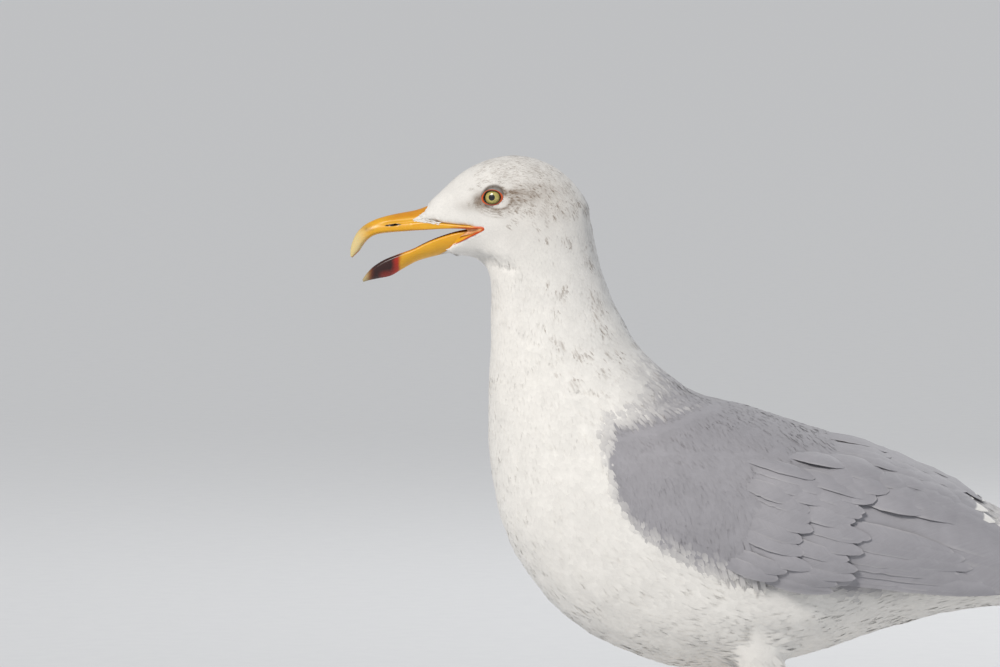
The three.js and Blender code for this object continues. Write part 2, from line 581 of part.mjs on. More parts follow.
// ---------------------------------------------------------------- primaries
// The long quills lie in a slanting stack: the innermost on top, each next one deeper and longer.
const PRIMARY = { half: 11.5, layer: 1.25, thick: 0.8, blockEnd: 296, rows: [0, 0.4, 0.75, 0.93, 1] };
const PRIMARY_WIDTHS = [0.95, 1, 0.82, 0.5, 0.14];
const bladeMiddle = through([[255, -3.5, 30], [300, -6, 22.5], [360, -5.5, 16.5], [432, -4, 10.5]]); // height, out
const bladeSlope = through([[255, 38], [320, 44], [432, 56]]);
function bladePoint(s, across, out) {
  const [height, side] = bladeMiddle(s);
  const slope = radians(bladeSlope(s));
  const t = height + across * Math.sin(slope) + out * Math.cos(slope);
  const y = side - across * Math.cos(slope) + out * Math.sin(slope);
  const [x, z] = alongWing(s, t);
  return point(x, -y, z);
}
function bladePlate(stations, outLow) {
  const top = stations.map(([s, half, middle, out]) =>
    [-1, 0, 1].map((side) => bladePoint(s, middle + side * half, out + (side ? -0.35 : 0))),
  );
  const low = stations.map(([s, half, middle, out, thick]) =>
    [-1, 0, 1].map((side) => bladePoint(s, middle + side * half, (outLow ?? out - thick) + (side ? -0.35 : 0))),
  );
  return plate(top, low);
}
function primaries() {
  const { half, layer, thick, blockEnd, rows } = PRIMARY;
  const depth = -layer * (TIP_STEPS.length - 1) - thick - 0.3;
  const block = [WING_END, (WING_END + blockEnd) / 2, blockEnd].map((s) => [s, half * 1.12, 1, 0.3]);
  const quills = TIP_STEPS.map((tip, k) => {
    const shift = 0.7 * (TIP_STEPS.length - 1 - k) - 1.2;
    return bladePlate(
      rows.map((a, i) => [
        lerp(WING_END, tip, a),
        half * PRIMARY_WIDTHS[i],
        shift * Math.min(1, 2 * a),
        -layer * k,
        thick * (a === 1 ? 0.7 : 1),
      ]),
    );
  });
  return fuse([bladePlate(block, depth), ...quills]);
}

// ---------------------------------------------------------------- tail
const TAIL = { root: { x: 326, z: 151.5 }, end: { x: 415, z: 130 }, layer: 1.1, half: 8.5, tilt: 6 };
const TAIL_ROWS = [0, 0.5, 0.92, 1];
const TAIL_WIDTHS = [0.6, 0.95, 0.92, 0.45];
// One feather of the tail's left half, counted outwards from the middle pair.
function tailFeather(k) {
  const [from, to] = [1.8 + 2.3 * k, 5.2 + 5.3 * k];
  const [top, low] = [[], []];
  TAIL_ROWS.forEach((a, i) => {
    const x = lerp(TAIL.root.x, TAIL.end.x - 0.9 * k, a);
    const z = lerp(TAIL.root.z, TAIL.end.z, a) - TAIL.layer * k;
    const middle = lerp(from, to, a);
    const ring = [-1, 0, 1].map((side) => {
      const across = side * TAIL.half * TAIL_WIDTHS[i];
      return point(x, -middle - across, z - across * Math.tan(radians(TAIL.tilt)) + (side ? -0.3 : 0));
    });
    top.push(ring);
    low.push(ring.map((p) => point(p.x, p.y, p.z - (a === 1 ? 0.6 : 0.85))));
  });
  return plate(top, low);
}
function tailFeathers() {
  const left = Array.from({ length: 6 }, (_, k) => tailFeather(k));
  return [...left, ...left.map(mirrored)];
}

// ---------------------------------------------------------------- legs and feet
const TOE_KNUCKLES = [1, 0.8, 0.96, 0.76, 0.88, 0.66];
function toePath(toe, share) {
  const turn = radians(toe.turn);
  const x = TOE_ROOT.x - share * toe.length * Math.cos(turn);
  const y = -TOE_ROOT.y + share * toe.length * Math.sin(turn);
  return [x, y];
}
const toeHeight = (toe, share) => lerp(TOE_ROOT.z * 0.62, toe.radius * 0.66, Math.min(1, share * 2.2));
function toeBody(toe) {
  const stations = TOE_KNUCKLES.map((size, i) => {
    const share = i / (TOE_KNUCKLES.length - 1);
    const r = toe.radius * size;
    return [...toePath(toe, share), toeHeight(toe, share), r, r * 0.92];
  });
  return limb(stations, { sides: 6, steps: 1 });
}
function claw(toe) {
  const [x, y] = toePath(toe, 1);
  const turn = radians(toe.turn);
  const base = toeHeight(toe, 1);
  const stations = [0, 0.4, 0.75, 1].map((a) => {
    const ahead = GAP + a * CLAW.length;
    const r = CLAW.radius * (1 - 0.82 * a);
    return [x - ahead * Math.cos(turn), y + ahead * Math.sin(turn), base + 0.9 * Math.sin(a * 2.6) - 1.2 * a * a, r, r];
  });
  return limb(stations, { sides: 5, steps: 1 });
}
// Skin between two toes: it hangs back in a curve between their tips.
function web(toeA, toeB) {
  const [top, low] = [[], []];
  for (let i = 0; i <= 2; i++) {
    top.push([]);
    low.push([]);
    for (let j = 0; j <= 4; j++) {
      const across = j / 4;
      const sag = 1 - 0.16 * Math.sin(Math.PI * across);
      const share = lerp(0.04, 0.93 * sag, i / 2);
      const [ax, ay] = toePath(toeA, share);
      const [bx, by] = toePath(toeB, share);
      const [x, y] = [lerp(ax, bx, across), lerp(ay, by, across)];
      top[i].push(point(x, y, 1.9 - 0.6 * Math.sin(Math.PI * across)));
      low[i].push(point(x, y, -0.5));
    }
  }
  return plate(top, low);
}
const HIND_TOE = [
  [1, 0, 11.5, 2, 2],
  [7, 0.4, 10.4, 2, 2],
  [12, 0.9, 8.6, 1.9, 1.9],
  [16, 1.4, 6.6, 1.4, 1.4],
].map(([back, out, ...rest]) => [TOE_ROOT.x + back, -TOE_ROOT.y - out, ...rest]);
const HIND_CLAW = [
  [16.25, 1.5, 6.4, 1.2, 1.2],
  [19.6, 1.8, 4.4, 0.8, 0.8],
  [21.6, 1.9, 1.6, 0.3, 0.3],
].map(([back, out, ...rest]) => [TOE_ROOT.x + back, -TOE_ROOT.y - out, ...rest]);
const FOOT_TOP = 14;
const SHANK = [
  [161.5, -28, 97, 3.2, 3.2],
  [162.6, -28.2, 89, 3.4, 3.4],
  [163.7, -28.4, 80, 3.6, 3.8],
  [ANKLE.x, -ANKLE.y, ANKLE.z, 4.4, 5],
  [162.3, -28.8, 60, 3, 3.9],
  [158.8, -29.3, 40, 2.5, 3.4],
  [155.3, -29.8, 22, 2.7, 3.4],
  [TOE_ROOT.x, -TOE_ROOT.y, TOE_ROOT.z, 3.8, 3.8],
  [TOE_ROOT.x - 1, -TOE_ROOT.y, 3.2, 3.2, 3.4],
];
const THIGH = [
  [150, -30, 150, 26, 32],
  [153, -29.5, 132, 22.5, 29.5],
  [156, -28.7, 112, 16, 21.5],
  [159, -28.4, 100, 10.8, 14],
  [162, -28.2, 90, 6.5, 8],
  [163, -28.3, 85, 4.7, 5.3],
];
const leg = (grow = 0) => limb(SHANK, { sides: 9, steps: 1, grow });

// ---------------------------------------------------------------- putting the bird together
const bird = new THREE.Group();
function show(name, body, finish) {
  const mesh = biggest(biggest(body).simplify(0.03)).getMesh();
  const places = new Float32Array(mesh.numVert * 3);
  for (let i = 0; i < mesh.numVert; i++)
    places.set(mesh.vertProperties.subarray(i * mesh.numProp, i * mesh.numProp + 3), i * 3);
  const geometry = new THREE.BufferGeometry();
  geometry.setAttribute("position", new THREE.BufferAttribute(places, 3));
  geometry.setIndex(new THREE.BufferAttribute(new Uint32Array(mesh.triVerts), 1));
  geometry.computeVertexNormals();
  const piece = new THREE.Mesh(geometry, new THREE.MeshStandardMaterial(FINISH[finish]));
  piece.name = name;
  bird.add(piece);
}
function showPair(name, body, finish) {
  show(name + "_left", body, finish);
  show(name + "_right", mirrored(body), finish);
}

const whole = flesh();
const wholeGrown = flesh(GAP);
const upper = upperBill().subtract(nostril());
const lower = lowerBill();
let head = above(whole, ...HEAD_CUT, GAP / 2);
head = cutBy(head, mouthWedge(), upperBill(GAP), lowerBillOuter(GAP));
for (const part of [eyeball(GAP), eyelid(GAP)]) head = cutBy(head, part, mirrored(part));
show("head", head, "white");
show("bill_upper", upper, "billYellow");
show("bill_lower", lower, "billYellow");
show("tongue", tongue(), "mouth");
showPair("eye", eyeball(), "eye");
showPair("eyelid", eyelid(), "lid");

const thigh = limb(THIGH, { sides: 10, steps: 1 }).subtract(wholeGrown).subtract(leg(GAP));
show("neck", below(above(whole, ...NECK_CUT, GAP / 2), ...HEAD_CUT, GAP / 2), "white");
const trunk = above(below(whole, ...NECK_CUT, GAP / 2), ...TAIL_CUT, GAP / 2);
show("torso", trunk, "white");
const mantle = fuse([mantleCore(), ...mantleFeathers()]).intersect(mantleCore(0, 6, -16));
show("mantle", mantle.subtract(wholeGrown), "grey");
const wing = fuse([wingCore(), ...wingFeathers()]).trimByPlane([0, -1, 0], GAP);
showPair("wing", cutBy(wing, wholeGrown, mantleCore(GAP * 1.4, 6, -16)), "grey");
showPair("primaries", primaries(), "black");
show("tail", fuse([below(whole, ...TAIL_CUT, GAP / 2), ...tailFeathers()]), "white");
showPair("thigh", thigh, "white");
const shank = above(leg(), { x: 0, z: FOOT_TOP }, { x: 9, z: FOOT_TOP }, GAP / 2);
showPair("shank", shank, "legYellow");

const ankleEnd = below(leg(), { x: 0, z: FOOT_TOP }, { x: 9, z: FOOT_TOP }, GAP / 2);
const webs = [web(TOES[0], TOES[1]), web(TOES[1], TOES[2])];
const foot = fuse([ankleEnd, ...TOES.map(toeBody), ...webs, limb(HIND_TOE, { sides: 6, steps: 1 })]);
showPair("foot", foot.trimByPlane([0, 0, 1], 0), "legYellow");
for (const toe of TOES) showPair("claw_" + toe.name, claw(toe).trimByPlane([0, 0, 1], 0), "claw");
showPair("claw_hind", limb(HIND_CLAW, { sides: 5, steps: 1 }), "claw");

bird.position.x = -BREAST_TO_MIDDLE;
export default bird;
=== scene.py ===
# %% [markdown]
# # A large gull, life size
# The bird stands on plain ground with its neck raised and its bill open. The solids that hold its
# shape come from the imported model, and this notebook dresses them: one skin under everything, then
# feathers, bill, eyes and legs. Every cell makes one thing, says what it is on a real gull, and
# prints what it made. Blender works in metres here, and the tables below are in millimetres.

# %% Load the frame
import itertools
import math

import bpy
import numpy as np
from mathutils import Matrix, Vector
from mathutils.bvhtree import BVHTree
from mathutils.kdtree import KDTree


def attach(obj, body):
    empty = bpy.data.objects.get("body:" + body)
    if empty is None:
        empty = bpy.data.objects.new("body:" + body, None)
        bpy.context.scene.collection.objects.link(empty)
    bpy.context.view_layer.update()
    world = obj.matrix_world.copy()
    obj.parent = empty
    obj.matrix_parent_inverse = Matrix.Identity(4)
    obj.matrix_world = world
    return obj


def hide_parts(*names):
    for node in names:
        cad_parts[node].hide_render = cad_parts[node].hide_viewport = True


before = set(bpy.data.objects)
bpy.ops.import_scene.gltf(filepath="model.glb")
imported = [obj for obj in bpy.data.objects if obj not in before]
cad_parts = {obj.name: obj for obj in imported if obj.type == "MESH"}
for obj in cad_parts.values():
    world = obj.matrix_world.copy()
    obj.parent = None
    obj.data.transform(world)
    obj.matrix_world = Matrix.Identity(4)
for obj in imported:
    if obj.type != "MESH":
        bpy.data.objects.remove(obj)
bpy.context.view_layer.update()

# %% [markdown]
# ## Small tools
# Hand work in Blender starts with nothing selected. The tables measure X back from the front of the
# breast, so one function turns them into places in the scene. Colours are picked as sRGB hex, as in
# a paint chart, and a shader wants linear light, so another function converts them.

# %% Places, colours and selections
BREAST = 202.0  # from the front of the breast to the middle of the bird's length
SIDES = (("left", 1), ("right", -1))  # the tables are written for the left side


def placed(points):
    return (np.asarray(points, float) - [BREAST, 0, 0]) / 1000


def measured(points):
    return np.asarray(points, float) * 1000 + [BREAST, 0, 0]


def paint(hex_colour):
    channels = [int(hex_colour[i : i + 2], 16) / 255 for i in (1, 3, 5)]
    return tuple(c / 12.92 if c <= 0.04045 else ((c + 0.055) / 1.055) ** 2.4 for c in channels) + (1.0,)


def add_object(name, data):
    made = bpy.data.objects.new(name, data)
    bpy.context.scene.collection.objects.link(made)
    return made


def select_only(*objects):
    bpy.ops.object.select_all(action="DESELECT")
    for one in objects:
        one.select_set(True)
    bpy.context.view_layer.objects.active = objects[0]


def edit_all(piece, tool, **settings):
    """Runs one mesh tool on the whole of a piece."""
    select_only(piece)
    bpy.ops.object.mode_set(mode="EDIT")
    bpy.ops.mesh.select_all(action="SELECT")
    tool(**settings)
    bpy.ops.object.mode_set(mode="OBJECT")


def add_modifier(piece, name, kind, **settings):
    modifier = piece.modifiers.new(name, kind)
    for key, value in settings.items():
        setattr(modifier, key, value)


def apply_modifiers(piece):
    select_only(piece)
    for modifier in list(piece.modifiers):
        bpy.ops.object.modifier_apply(modifier=modifier.name)


def fused(pieces, name, voxel):
    """Joins closed pieces that overlap. Once applied, the remesh makes them one surface."""
    select_only(*pieces)
    bpy.ops.object.join()
    body = pieces[0]
    body.name = body.data.name = name
    add_modifier(body, "fuse", "REMESH", mode="VOXEL", voxel_size=voxel)
    return body


def unit(vectors):
    return vectors / np.maximum(np.linalg.norm(vectors, axis=-1, keepdims=True), 1e-9)


def ease(low, high, value):
    t = np.clip((np.asarray(value, float) - low) / (high - low), 0, 1)
    return t * t * (3 - 2 * t)


# %% [markdown]
# Pieces with thousands of faces, such as a coat, are written straight into a mesh from arrays. The
# function takes the points in table millimetres. It turns the faces outwards if the body would
# otherwise be inside out, which its signed volume tells.

# %% Meshes from arrays
def outwards(points, faces):
    a, b, c = (points[faces[:, k]] - points[faces[0, 0]] for k in range(3))
    return faces[:, ::-1] if np.einsum("ij,ij->i", a, np.cross(b, c)).sum() < 0 else faces


def write_mesh(name, points, faces, closed=True):
    points = placed(points)
    if closed:
        faces = outwards(points, faces)
    mesh = bpy.data.meshes.new(name)
    mesh.vertices.add(len(points))
    mesh.vertices.foreach_set("co", np.ravel(points).astype(np.float32))
    mesh.loops.add(faces.size)
    mesh.loops.foreach_set("vertex_index", np.ravel(faces).astype(np.int32))
    mesh.polygons.add(len(faces))
    mesh.polygons.foreach_set("loop_start", np.arange(0, faces.size, 3, dtype=np.int32))
    mesh.update(calc_edges=True)
    return add_object(name, mesh)


def give_values(piece, name, values):
    """Numbers on each point for the material to read: one number, or four as a colour."""
    values = np.asarray(values, np.float32)
    kind, field = ("FLOAT", "value") if values.ndim == 1 else ("FLOAT_COLOR", "color")
    layer = piece.data.attributes.new(name, kind, "POINT")
    layer.data.foreach_set(field, values.ravel())


def read_rows(items, field, width, kind=np.float32):
    """One property of many points, edges, corners or triangles, a row each."""
    values = np.empty(len(items) * width, kind)
    items.foreach_get(field, values)
    return values.reshape(-1, width)


def read_points(piece):
    places = measured(read_rows(piece.data.vertices, "co", 3))
    return places, read_rows(piece.data.vertex_normals, "vector", 3).astype(float)


def read_triangles(piece):
    piece.data.calc_loop_triangles()
    return read_rows(piece.data.loop_triangles, "vertices", 3, np.int32)


def move_points(piece, points):
    piece.data.vertices.foreach_set("co", np.ravel(placed(points)).astype(np.float32))
    piece.data.update()


def settle(piece, material, slot, *nodes):
    """The last step of each piece: its surface, the body it rides on, and the solids it stands for."""
    piece.data.materials.append(material)
    piece.data.polygons.foreach_set("use_smooth", np.ones(len(piece.data.polygons), bool))
    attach(piece, "root")
    if nodes:
        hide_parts(*nodes)
    print(piece.name, "-", len(piece.data.polygons), "faces")
    return piece


# %% [markdown]
# ## Curves through tables
# A gull has no straight line, so every size is a smooth curve through a short table of numbers. The
# curve is a Catmull-Rom spline, which passes through each row without a kink. A soft random field
# varies what would look machine-made if it were the same everywhere. It is worked out from whole
# numbers and a seed, so it is the same on every run.

# %% Splines and soft noise
def through(rows):
    rows = np.array(rows, float)
    keys, values = rows[:, 0], rows[:, 1:]
    knots = np.vstack([2 * values[0] - values[1], values, 2 * values[-1] - values[-2]])

    def at(x):
        x = np.asarray(x, float)
        i = np.clip(np.searchsorted(keys, x, side="right") - 1, 0, len(keys) - 2)
        t = np.clip((x - keys[i]) / (keys[i + 1] - keys[i]), 0, 1)[..., None]
        a, b, c, d = knots[i], knots[i + 1], knots[i + 2], knots[i + 3]
        bend = (2 * a - 5 * b + 4 * c - d) * t**2 + (3 * b - a - 3 * c + d) * t**3
        value = 0.5 * (2 * b + (c - a) * t + bend)
        return value[..., 0] if value.shape[-1] == 1 else value

    return at


NOISE_STRIDES = np.array([374761393, 668265263, 2147483647])
NOISE_MIX = 1274126177


def drift(points, size, seed):
    """A soft random field from 0 to 1 whose patches are about `size` millimetres wide."""
    scaled = np.asarray(points, float) / size
    cell = np.floor(scaled).astype(np.int64)
    share = scaled - cell
    share = share * share * (3 - 2 * share)
    total = np.zeros(scaled.shape[:-1])
    for corner in itertools.product((0, 1), repeat=scaled.shape[-1]):
        corner = np.array(corner)
        weight = np.prod(np.where(corner == 1, share, 1 - share), axis=-1)
        n = ((cell + corner) * NOISE_STRIDES[: scaled.shape[-1]]).sum(-1)
        n = (n + seed * NOISE_MIX) & 0xFFFFFFFF
        n = ((n ^ (n >> 13)) * NOISE_MIX) & 0xFFFFFFFF
        total += weight * (((n ^ (n >> 16)) & 0xFFFFFF) / 0xFFFFFF)
    return total


# %% [markdown]
# ## Cross-sections
# The bill and the folded wings are described by the same cross-section: it hangs between a top point
# and a low point on the bird's middle plane, and bulges to each side at its widest line, the belt.
# Each row is top X, top Z, low X, low Z, half width, belt, and how round it is above and below. Legs,
# toes and tongue are rounder, so they are tubes along a path. A thin web of skin or a feather's vane
# is a plate with a top and an underside.

# %% Cross-sections and lofts
def ring_point(ring, turn):
    """A place on a cross-section: 0 is at the belt on one side, and a quarter turn on is the top."""
    c, s = np.cos(turn), np.sin(turn)
    power = 2 / np.where(s >= 0, ring[..., 6], ring[..., 7])
    across, rise = np.sign(c) * np.abs(c) ** power, np.abs(s) ** power
    belt = ring[..., 5]
    share = np.where(s >= 0, belt + (1 - belt) * rise, belt * (1 - rise))
    x = ring[..., 2] + (ring[..., 0] - ring[..., 2]) * share
    z = ring[..., 3] + (ring[..., 1] - ring[..., 3]) * share
    return np.stack([x, across * ring[..., 4], z], -1)


def wall_faces(rings, sides, closed=False):
    """Triangles between rings of points, and from the last ring to the first if the stack is closed."""
    i, j = np.meshgrid(np.arange(rings if closed else rings - 1), np.arange(sides), indexing="ij")
    here, after = i * sides, (i + 1) % rings * sides
    a, b = here + j, here + (j + 1) % sides
    c, d = after + j, after + (j + 1) % sides
    return np.stack([np.stack([a, b, d], -1), np.stack([a, d, c], -1)], 2).reshape(-1, 3)


def closed_tube(rings):
    """The points and triangles of a tube through a stack of rings, with a fan at each end."""
    count, sides = rings.shape[:2]
    k = np.arange(sides)
    after, last_ring = (k + 1) % sides, (count - 1) * sides
    first, last = count * sides, count * sides + 1
    start = np.stack([np.full(sides, first), after, k], -1)
    end = np.stack([np.full(sides, last), last_ring + k, last_ring + after], -1)
    ends = [rings[0].mean(0), rings[-1].mean(0)]
    return np.vstack([rings.reshape(-1, 3), ends]), np.vstack([wall_faces(count, sides), start, end])


def finer(rows, per_span):
    """The rows of a table with smooth ones between them."""
    rows = np.array(rows, float)
    curve = through(np.column_stack([np.arange(len(rows)), rows]))
    return curve(np.linspace(0, len(rows) - 1, (len(rows) - 1) * per_span + 1))


def full_turn(count):
    return 2 * np.pi * np.arange(count) / count


def loft(rows, sides=48):
    return closed_tube(ring_point(finer(rows, 6)[:, None, :], full_turn(sides)[None, :]))


def limb(stations, sides=16, per_span=6):
    """A closed tube along [x, y, z, half width, half depth] stations."""
    values = finer(stations, per_span)
    ahead = unit(np.gradient(values[:, :3], axis=0))
    across = unit(np.array([0, 1, 0]) - ahead * ahead[:, 1:2])
    up = np.cross(ahead, across)
    turn = full_turn(sides)[None, :, None]
    rings = values[:, None, :3] + across[:, None] * np.cos(turn) * values[:, 3:4, None]
    return closed_tube(rings + up[:, None] * np.sin(turn) * values[:, 4:5, None])


def write_plate(name, top, low):
    """A closed plate between two grids of points, the upper one first."""
    points = np.vstack([top.reshape(-1, 3), low.reshape(-1, 3)])
    return write_mesh(name, points, plate_faces(*top.shape[:2]))


def plate_faces(rows, columns):
    i, j = np.meshgrid(np.arange(rows - 1), np.arange(columns - 1), indexing="ij")
    a, b = i * columns + j, (i + 1) * columns + j
    c, d = b + 1, a + 1
    top = np.vstack([np.stack([a, b, c], -1).reshape(-1, 3), np.stack([a, c, d], -1).reshape(-1, 3)])
    under = rows * columns
    rim = [i * columns for i in range(rows - 1)] + [(rows - 1) * columns + j for j in range(columns - 1)]
    rim += [i * columns + columns - 1 for i in range(rows - 1, 0, -1)] + list(range(columns - 1, 0, -1))
    a, b = np.array(rim), np.roll(rim, -1)
    side = np.vstack([np.stack([a, a + under, b + under], -1), np.stack([a, b + under, b], -1)])
    return np.vstack([top, top[:, ::-1] + under, side])


# %% [markdown]
# ## The lie of the feathers
# Feathers grow away from the bill: up over the forehead, down the neck, back along the body. The
# two lines below run along the bird's back and along its throat, breast and belly, in steps that
# face each other. A place between them has a step number, counted from the bill, and a height from
# the low line to the top line. The feathers there lie the way both lines run.

# %% Back line and belly line
TOP_LINE = [
    (-45, 360.8), (-40.5, 364), (-36.3, 367.2), (-28.5, 374.9), (-16.9, 385.4), (-5.2, 391.9), (6.4, 395.4),
    (18.5, 396), (32.5, 392.4), (45.5, 384), (55.5, 371), (60, 353.5), (63.8, 336), (70.5, 315), (83, 291.2),
    (101, 273), (126, 254.5), (146, 246), (164, 240.5), (181, 236), (198, 229), (214, 221.5), (228, 214),
    (241, 206), (253, 200), (266.5, 192.5), (282, 184), (300, 174.5), (320, 165), (341, 156), (360, 148.5),
]  # fmt: skip
LOW_LINE = [
    (-45, 354), (-40.5, 349), (-35.5, 344.5), (-28.5, 340.6), (-20.5, 338.6), (-13, 338.2), (-7, 336.6),
    (-2.6, 333.4), (-0.4, 329), (0.8, 323.5), (1.2, 316.5), (1, 308.5), (0.4, 299.5), (-0.3, 288),
    (-0.6, 271.5),
    (-0.4, 250), (0.2, 221), (4.5, 189), (18, 158), (40, 131), (69, 111), (102, 99), (135, 96.5), (166, 100.5),
    (194, 108), (222, 118), (250, 126), (277, 131.5), (305, 134.5), (334, 137), (357, 139.5),
]  # fmt: skip
TOP_LINE, LOW_LINE = np.array(TOP_LINE, float), np.array(LOW_LINE, float)
STEPS = np.arange(len(TOP_LINE))
top_curve = through(np.column_stack([STEPS, TOP_LINE]))
low_curve = through(np.column_stack([STEPS, LOW_LINE]))
MIDDLE_LINE = (TOP_LINE + LOW_LINE) / 2
MIDDLE_LENGTH = np.append(0, np.cumsum(np.linalg.norm(np.diff(MIDDLE_LINE, axis=0), axis=1)))
DOWN_THE_LEG = [0.12, 0, -1]


def step_and_height(points):
    flat = points[:, [0, 2]]
    up = TOP_LINE - LOW_LINE
    offset = flat[:, None, :] - LOW_LINE[None, :, :]
    beyond = (offset[..., 0] * up[:, 1] - offset[..., 1] * up[:, 0]) / np.linalg.norm(up, axis=1)
    first = np.clip(np.cumprod(beyond > 0, axis=1).sum(1) - 1, 0, len(STEPS) - 2)
    here, after = beyond[np.arange(len(flat)), first], beyond[np.arange(len(flat)), first + 1]
    step = first + np.clip(here / np.where(np.abs(here - after) < 1e-6, 1e-6, here - after), 0, 1)
    low, top = low_curve(step), top_curve(step)
    height = ((flat - low) * (top - low)).sum(1) / ((top - low) ** 2).sum(1)
    return step, np.clip(height, 0, 1)


def along_skin(way, facings):
    """A direction laid flat on the skin."""
    return unit(way - (way * facings).sum(1)[:, None] * facings)


def lie_of_feathers(points, facings):
    """The way the feathers point at each place, flat along the skin."""
    step, height = step_and_height(points)
    before, after = np.maximum(step - 0.4, 0), np.minimum(step + 0.4, STEPS[-1])
    low_way, top_way = low_curve(after) - low_curve(before), top_curve(after) - top_curve(before)
    way = low_way * (1 - height)[:, None] + top_way * height[:, None]
    way = unit(np.column_stack([way[:, 0], np.zeros(len(way)), way[:, 1]]))
    x, y, z = points.T
    on_leg = ease(118, 104, z) * (np.abs(y) > 10) * (x > 138) * (x < 186)
    return along_skin(unit(way * (1 - on_leg)[:, None] + on_leg[:, None] * DOWN_THE_LEG), facings)


def unrolled(points):
    """The body's own surface laid flat: millimetres along it from the bill, and the turn round it."""
    step, height = step_and_height(points)
    size = np.linalg.norm(top_curve(step) - low_curve(step), axis=1)
    turn = np.arctan2(points[:, 1], (height - 0.5) * size)
    return np.column_stack([np.interp(step, STEPS, MIDDLE_LENGTH), turn]), step, height


print("length along the middle of the bird:", round(MIDDLE_LENGTH[-1]), "mm")

# %% [markdown]
# ## The folded wings' form
# A folded wing is a long shield that starts at the wrist and falls gently to its tip. Places on it
# are given by the distance back from the wrist and a turn: 0 at the shield's widest line, 90 on
# the bird's back. Both wings and the grey back between them lie on this one form, so their feathers
# meet without a step.

# %% Wing form
WRIST = (67.0, 236.0)
TILT = math.radians(13.7)
wing_sizes = through([
    [-14, 28, -4, -72, 56.5, 2.0, 2.0], [20, 42, -8, -102, 67.5, 2.0, 2.2], [60, 38.5, -12, -116, 73, 2.1, 2.2],
    [100, 35, -16, -118, 75, 2.2, 2.2], [140, 31.5, -18, -110, 73, 2.2, 2.2], [180, 26, -19, -95, 67, 2.1, 2.1],
    [220, 17.5, -20, -78, 57, 1.95, 2.0], [260, 7, -20, -60, 46, 1.8, 2.0], [300, 1, -19, -46, 36, 1.7, 2.0],
    [340, -2, -16, -38, 27, 1.6, 2.0],
])  # fmt: skip
wing_low_edge = through([
    [-4, 12], [6, -6], [22, -18], [50, -22.5], [100, -24], [150, -23], [200, -20], [240, -14],
    [270, -6], [300, -2],
])  # fmt: skip
back_edge = through([
    [-20, 42], [15, 49], [40, 55], [80, 65], [120, 76], [150, 84], [168, 88.6], [340, 88.6],
])  # fmt: skip
front_edge = through([[-30, 18], [-18, 8], [0, 1], [20, 0], [40, 7], [65, 22], [90, 36]])
wing_depth = through([[-10, 9], [20, 16], [60, 26], [130, 26], [180, 17], [220, 12], [262, 9], [300, 8]])
MOST_TURN = 88.6  # a wing stops just short of the middle of the back


def along_wing(s, t):
    """X and Z of a place s back along the wing and t above its line."""
    x = WRIST[0] + s * math.cos(TILT) + t * math.sin(TILT)
    z = WRIST[1] - s * math.sin(TILT) + t * math.cos(TILT)
    return x, z


def form_point(s, turn):
    s, turn = np.broadcast_arrays(np.asarray(s, float), np.asarray(turn, float))
    top, belt, low, wide, above, below = np.moveaxis(wing_sizes(s), -1, 0)
    share = (belt - low) / (top - low)
    ring = np.stack([*along_wing(s, top), *along_wing(s, low), wide, share, above, below], -1)
    return ring_point(ring, np.radians(turn)) * [1, -1, 1]


def round_form(s, turn):
    """The step from one degree before a place to one degree after it."""
    return form_point(s, np.asarray(turn) + 1) - form_point(s, np.asarray(turn) - 1)


def form_facing(s, turn):
    back = form_point(np.asarray(s) + 1, turn) - form_point(np.asarray(s) - 1, turn)
    facing = unit(np.cross(back, round_form(s, turn)))
    place = form_point(s, turn)
    wrong = (facing[..., 1] * place[..., 1] < 0) | ((np.abs(place[..., 1]) < 1) & (facing[..., 2] < 0))
    return np.where(wrong[..., None], -facing, facing)


def on_form(s, turn, out):
    return form_point(s, turn) + form_facing(s, turn) * np.asarray(out, float)[..., None]


def per_degree(s, turn):
    return np.linalg.norm(round_form(s, turn), axis=-1) / 2


def wing_place(points):
    """Where a point lies on the form: distance back, turn, and millimetres outside its surface."""
    x, z = points[:, 0] - WRIST[0], points[:, 2] - WRIST[1]
    s, t = x * math.cos(TILT) - z * math.sin(TILT), x * math.sin(TILT) + z * math.cos(TILT)
    top, belt, low, _, above, below = np.moveaxis(wing_sizes(s), -1, 0)
    up = np.clip((t - belt) / (top - belt), 0, 1) ** (above / 2)
    down = np.clip((belt - t) / (belt - low), 0, 1) ** (below / 2)
    turn = np.degrees(np.where(t >= belt, np.arcsin(up), -np.arcsin(down)))
    outside = (np.abs(points[:, 1]) - np.abs(form_point(s, turn)[:, 1])) * np.abs(form_facing(s, turn)[:, 1])
    return s, turn, np.where(t > top, t - top, outside)


folded = np.linalg.norm(form_point(0, 0) - form_point(262, 0))
print("folded wing, wrist to rump:", round(float(folded)), "mm")

# %% [markdown]
# ## One skin
# Under the feathers a gull has one unbroken skin. The solids are parted at head, neck, back and
# thigh, so copies of them are swollen by a hair until they overlap, and a voxel remesh fuses them
# into a single surface. A remesh is the right tool here, because it does not care how the copies
# cross. Smoothing then takes the facets away. The wings' own mass is a curved plate on the wing
# form, and goes into the same skin.

# %% Copies of the solids
FLESH = ("head", "neck", "torso", "thigh_left", "thigh_right", "tail")
SWELL = 0.0005  # metres, enough to close the gaps between the solids
TAIL_CUT = (351, 0, 144)  # behind it the tail is all feathers
OVER_SKIN = 2.0  # the thickness of the vanes on the wing form


def grid(rows, columns, start=0.0):
    """Shares from 0 to 1 down the rows of a grid, and from `start` to 1 across its columns."""
    return np.meshgrid(np.linspace(0, 1, rows), np.linspace(start, 1, columns), indexing="ij")


def copy_solid(name):
    body = add_object("copy_" + name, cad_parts[name].data.copy())
    body.data.materials.clear()
    edit_all(body, bpy.ops.mesh.remove_doubles, threshold=1e-5)
    return body


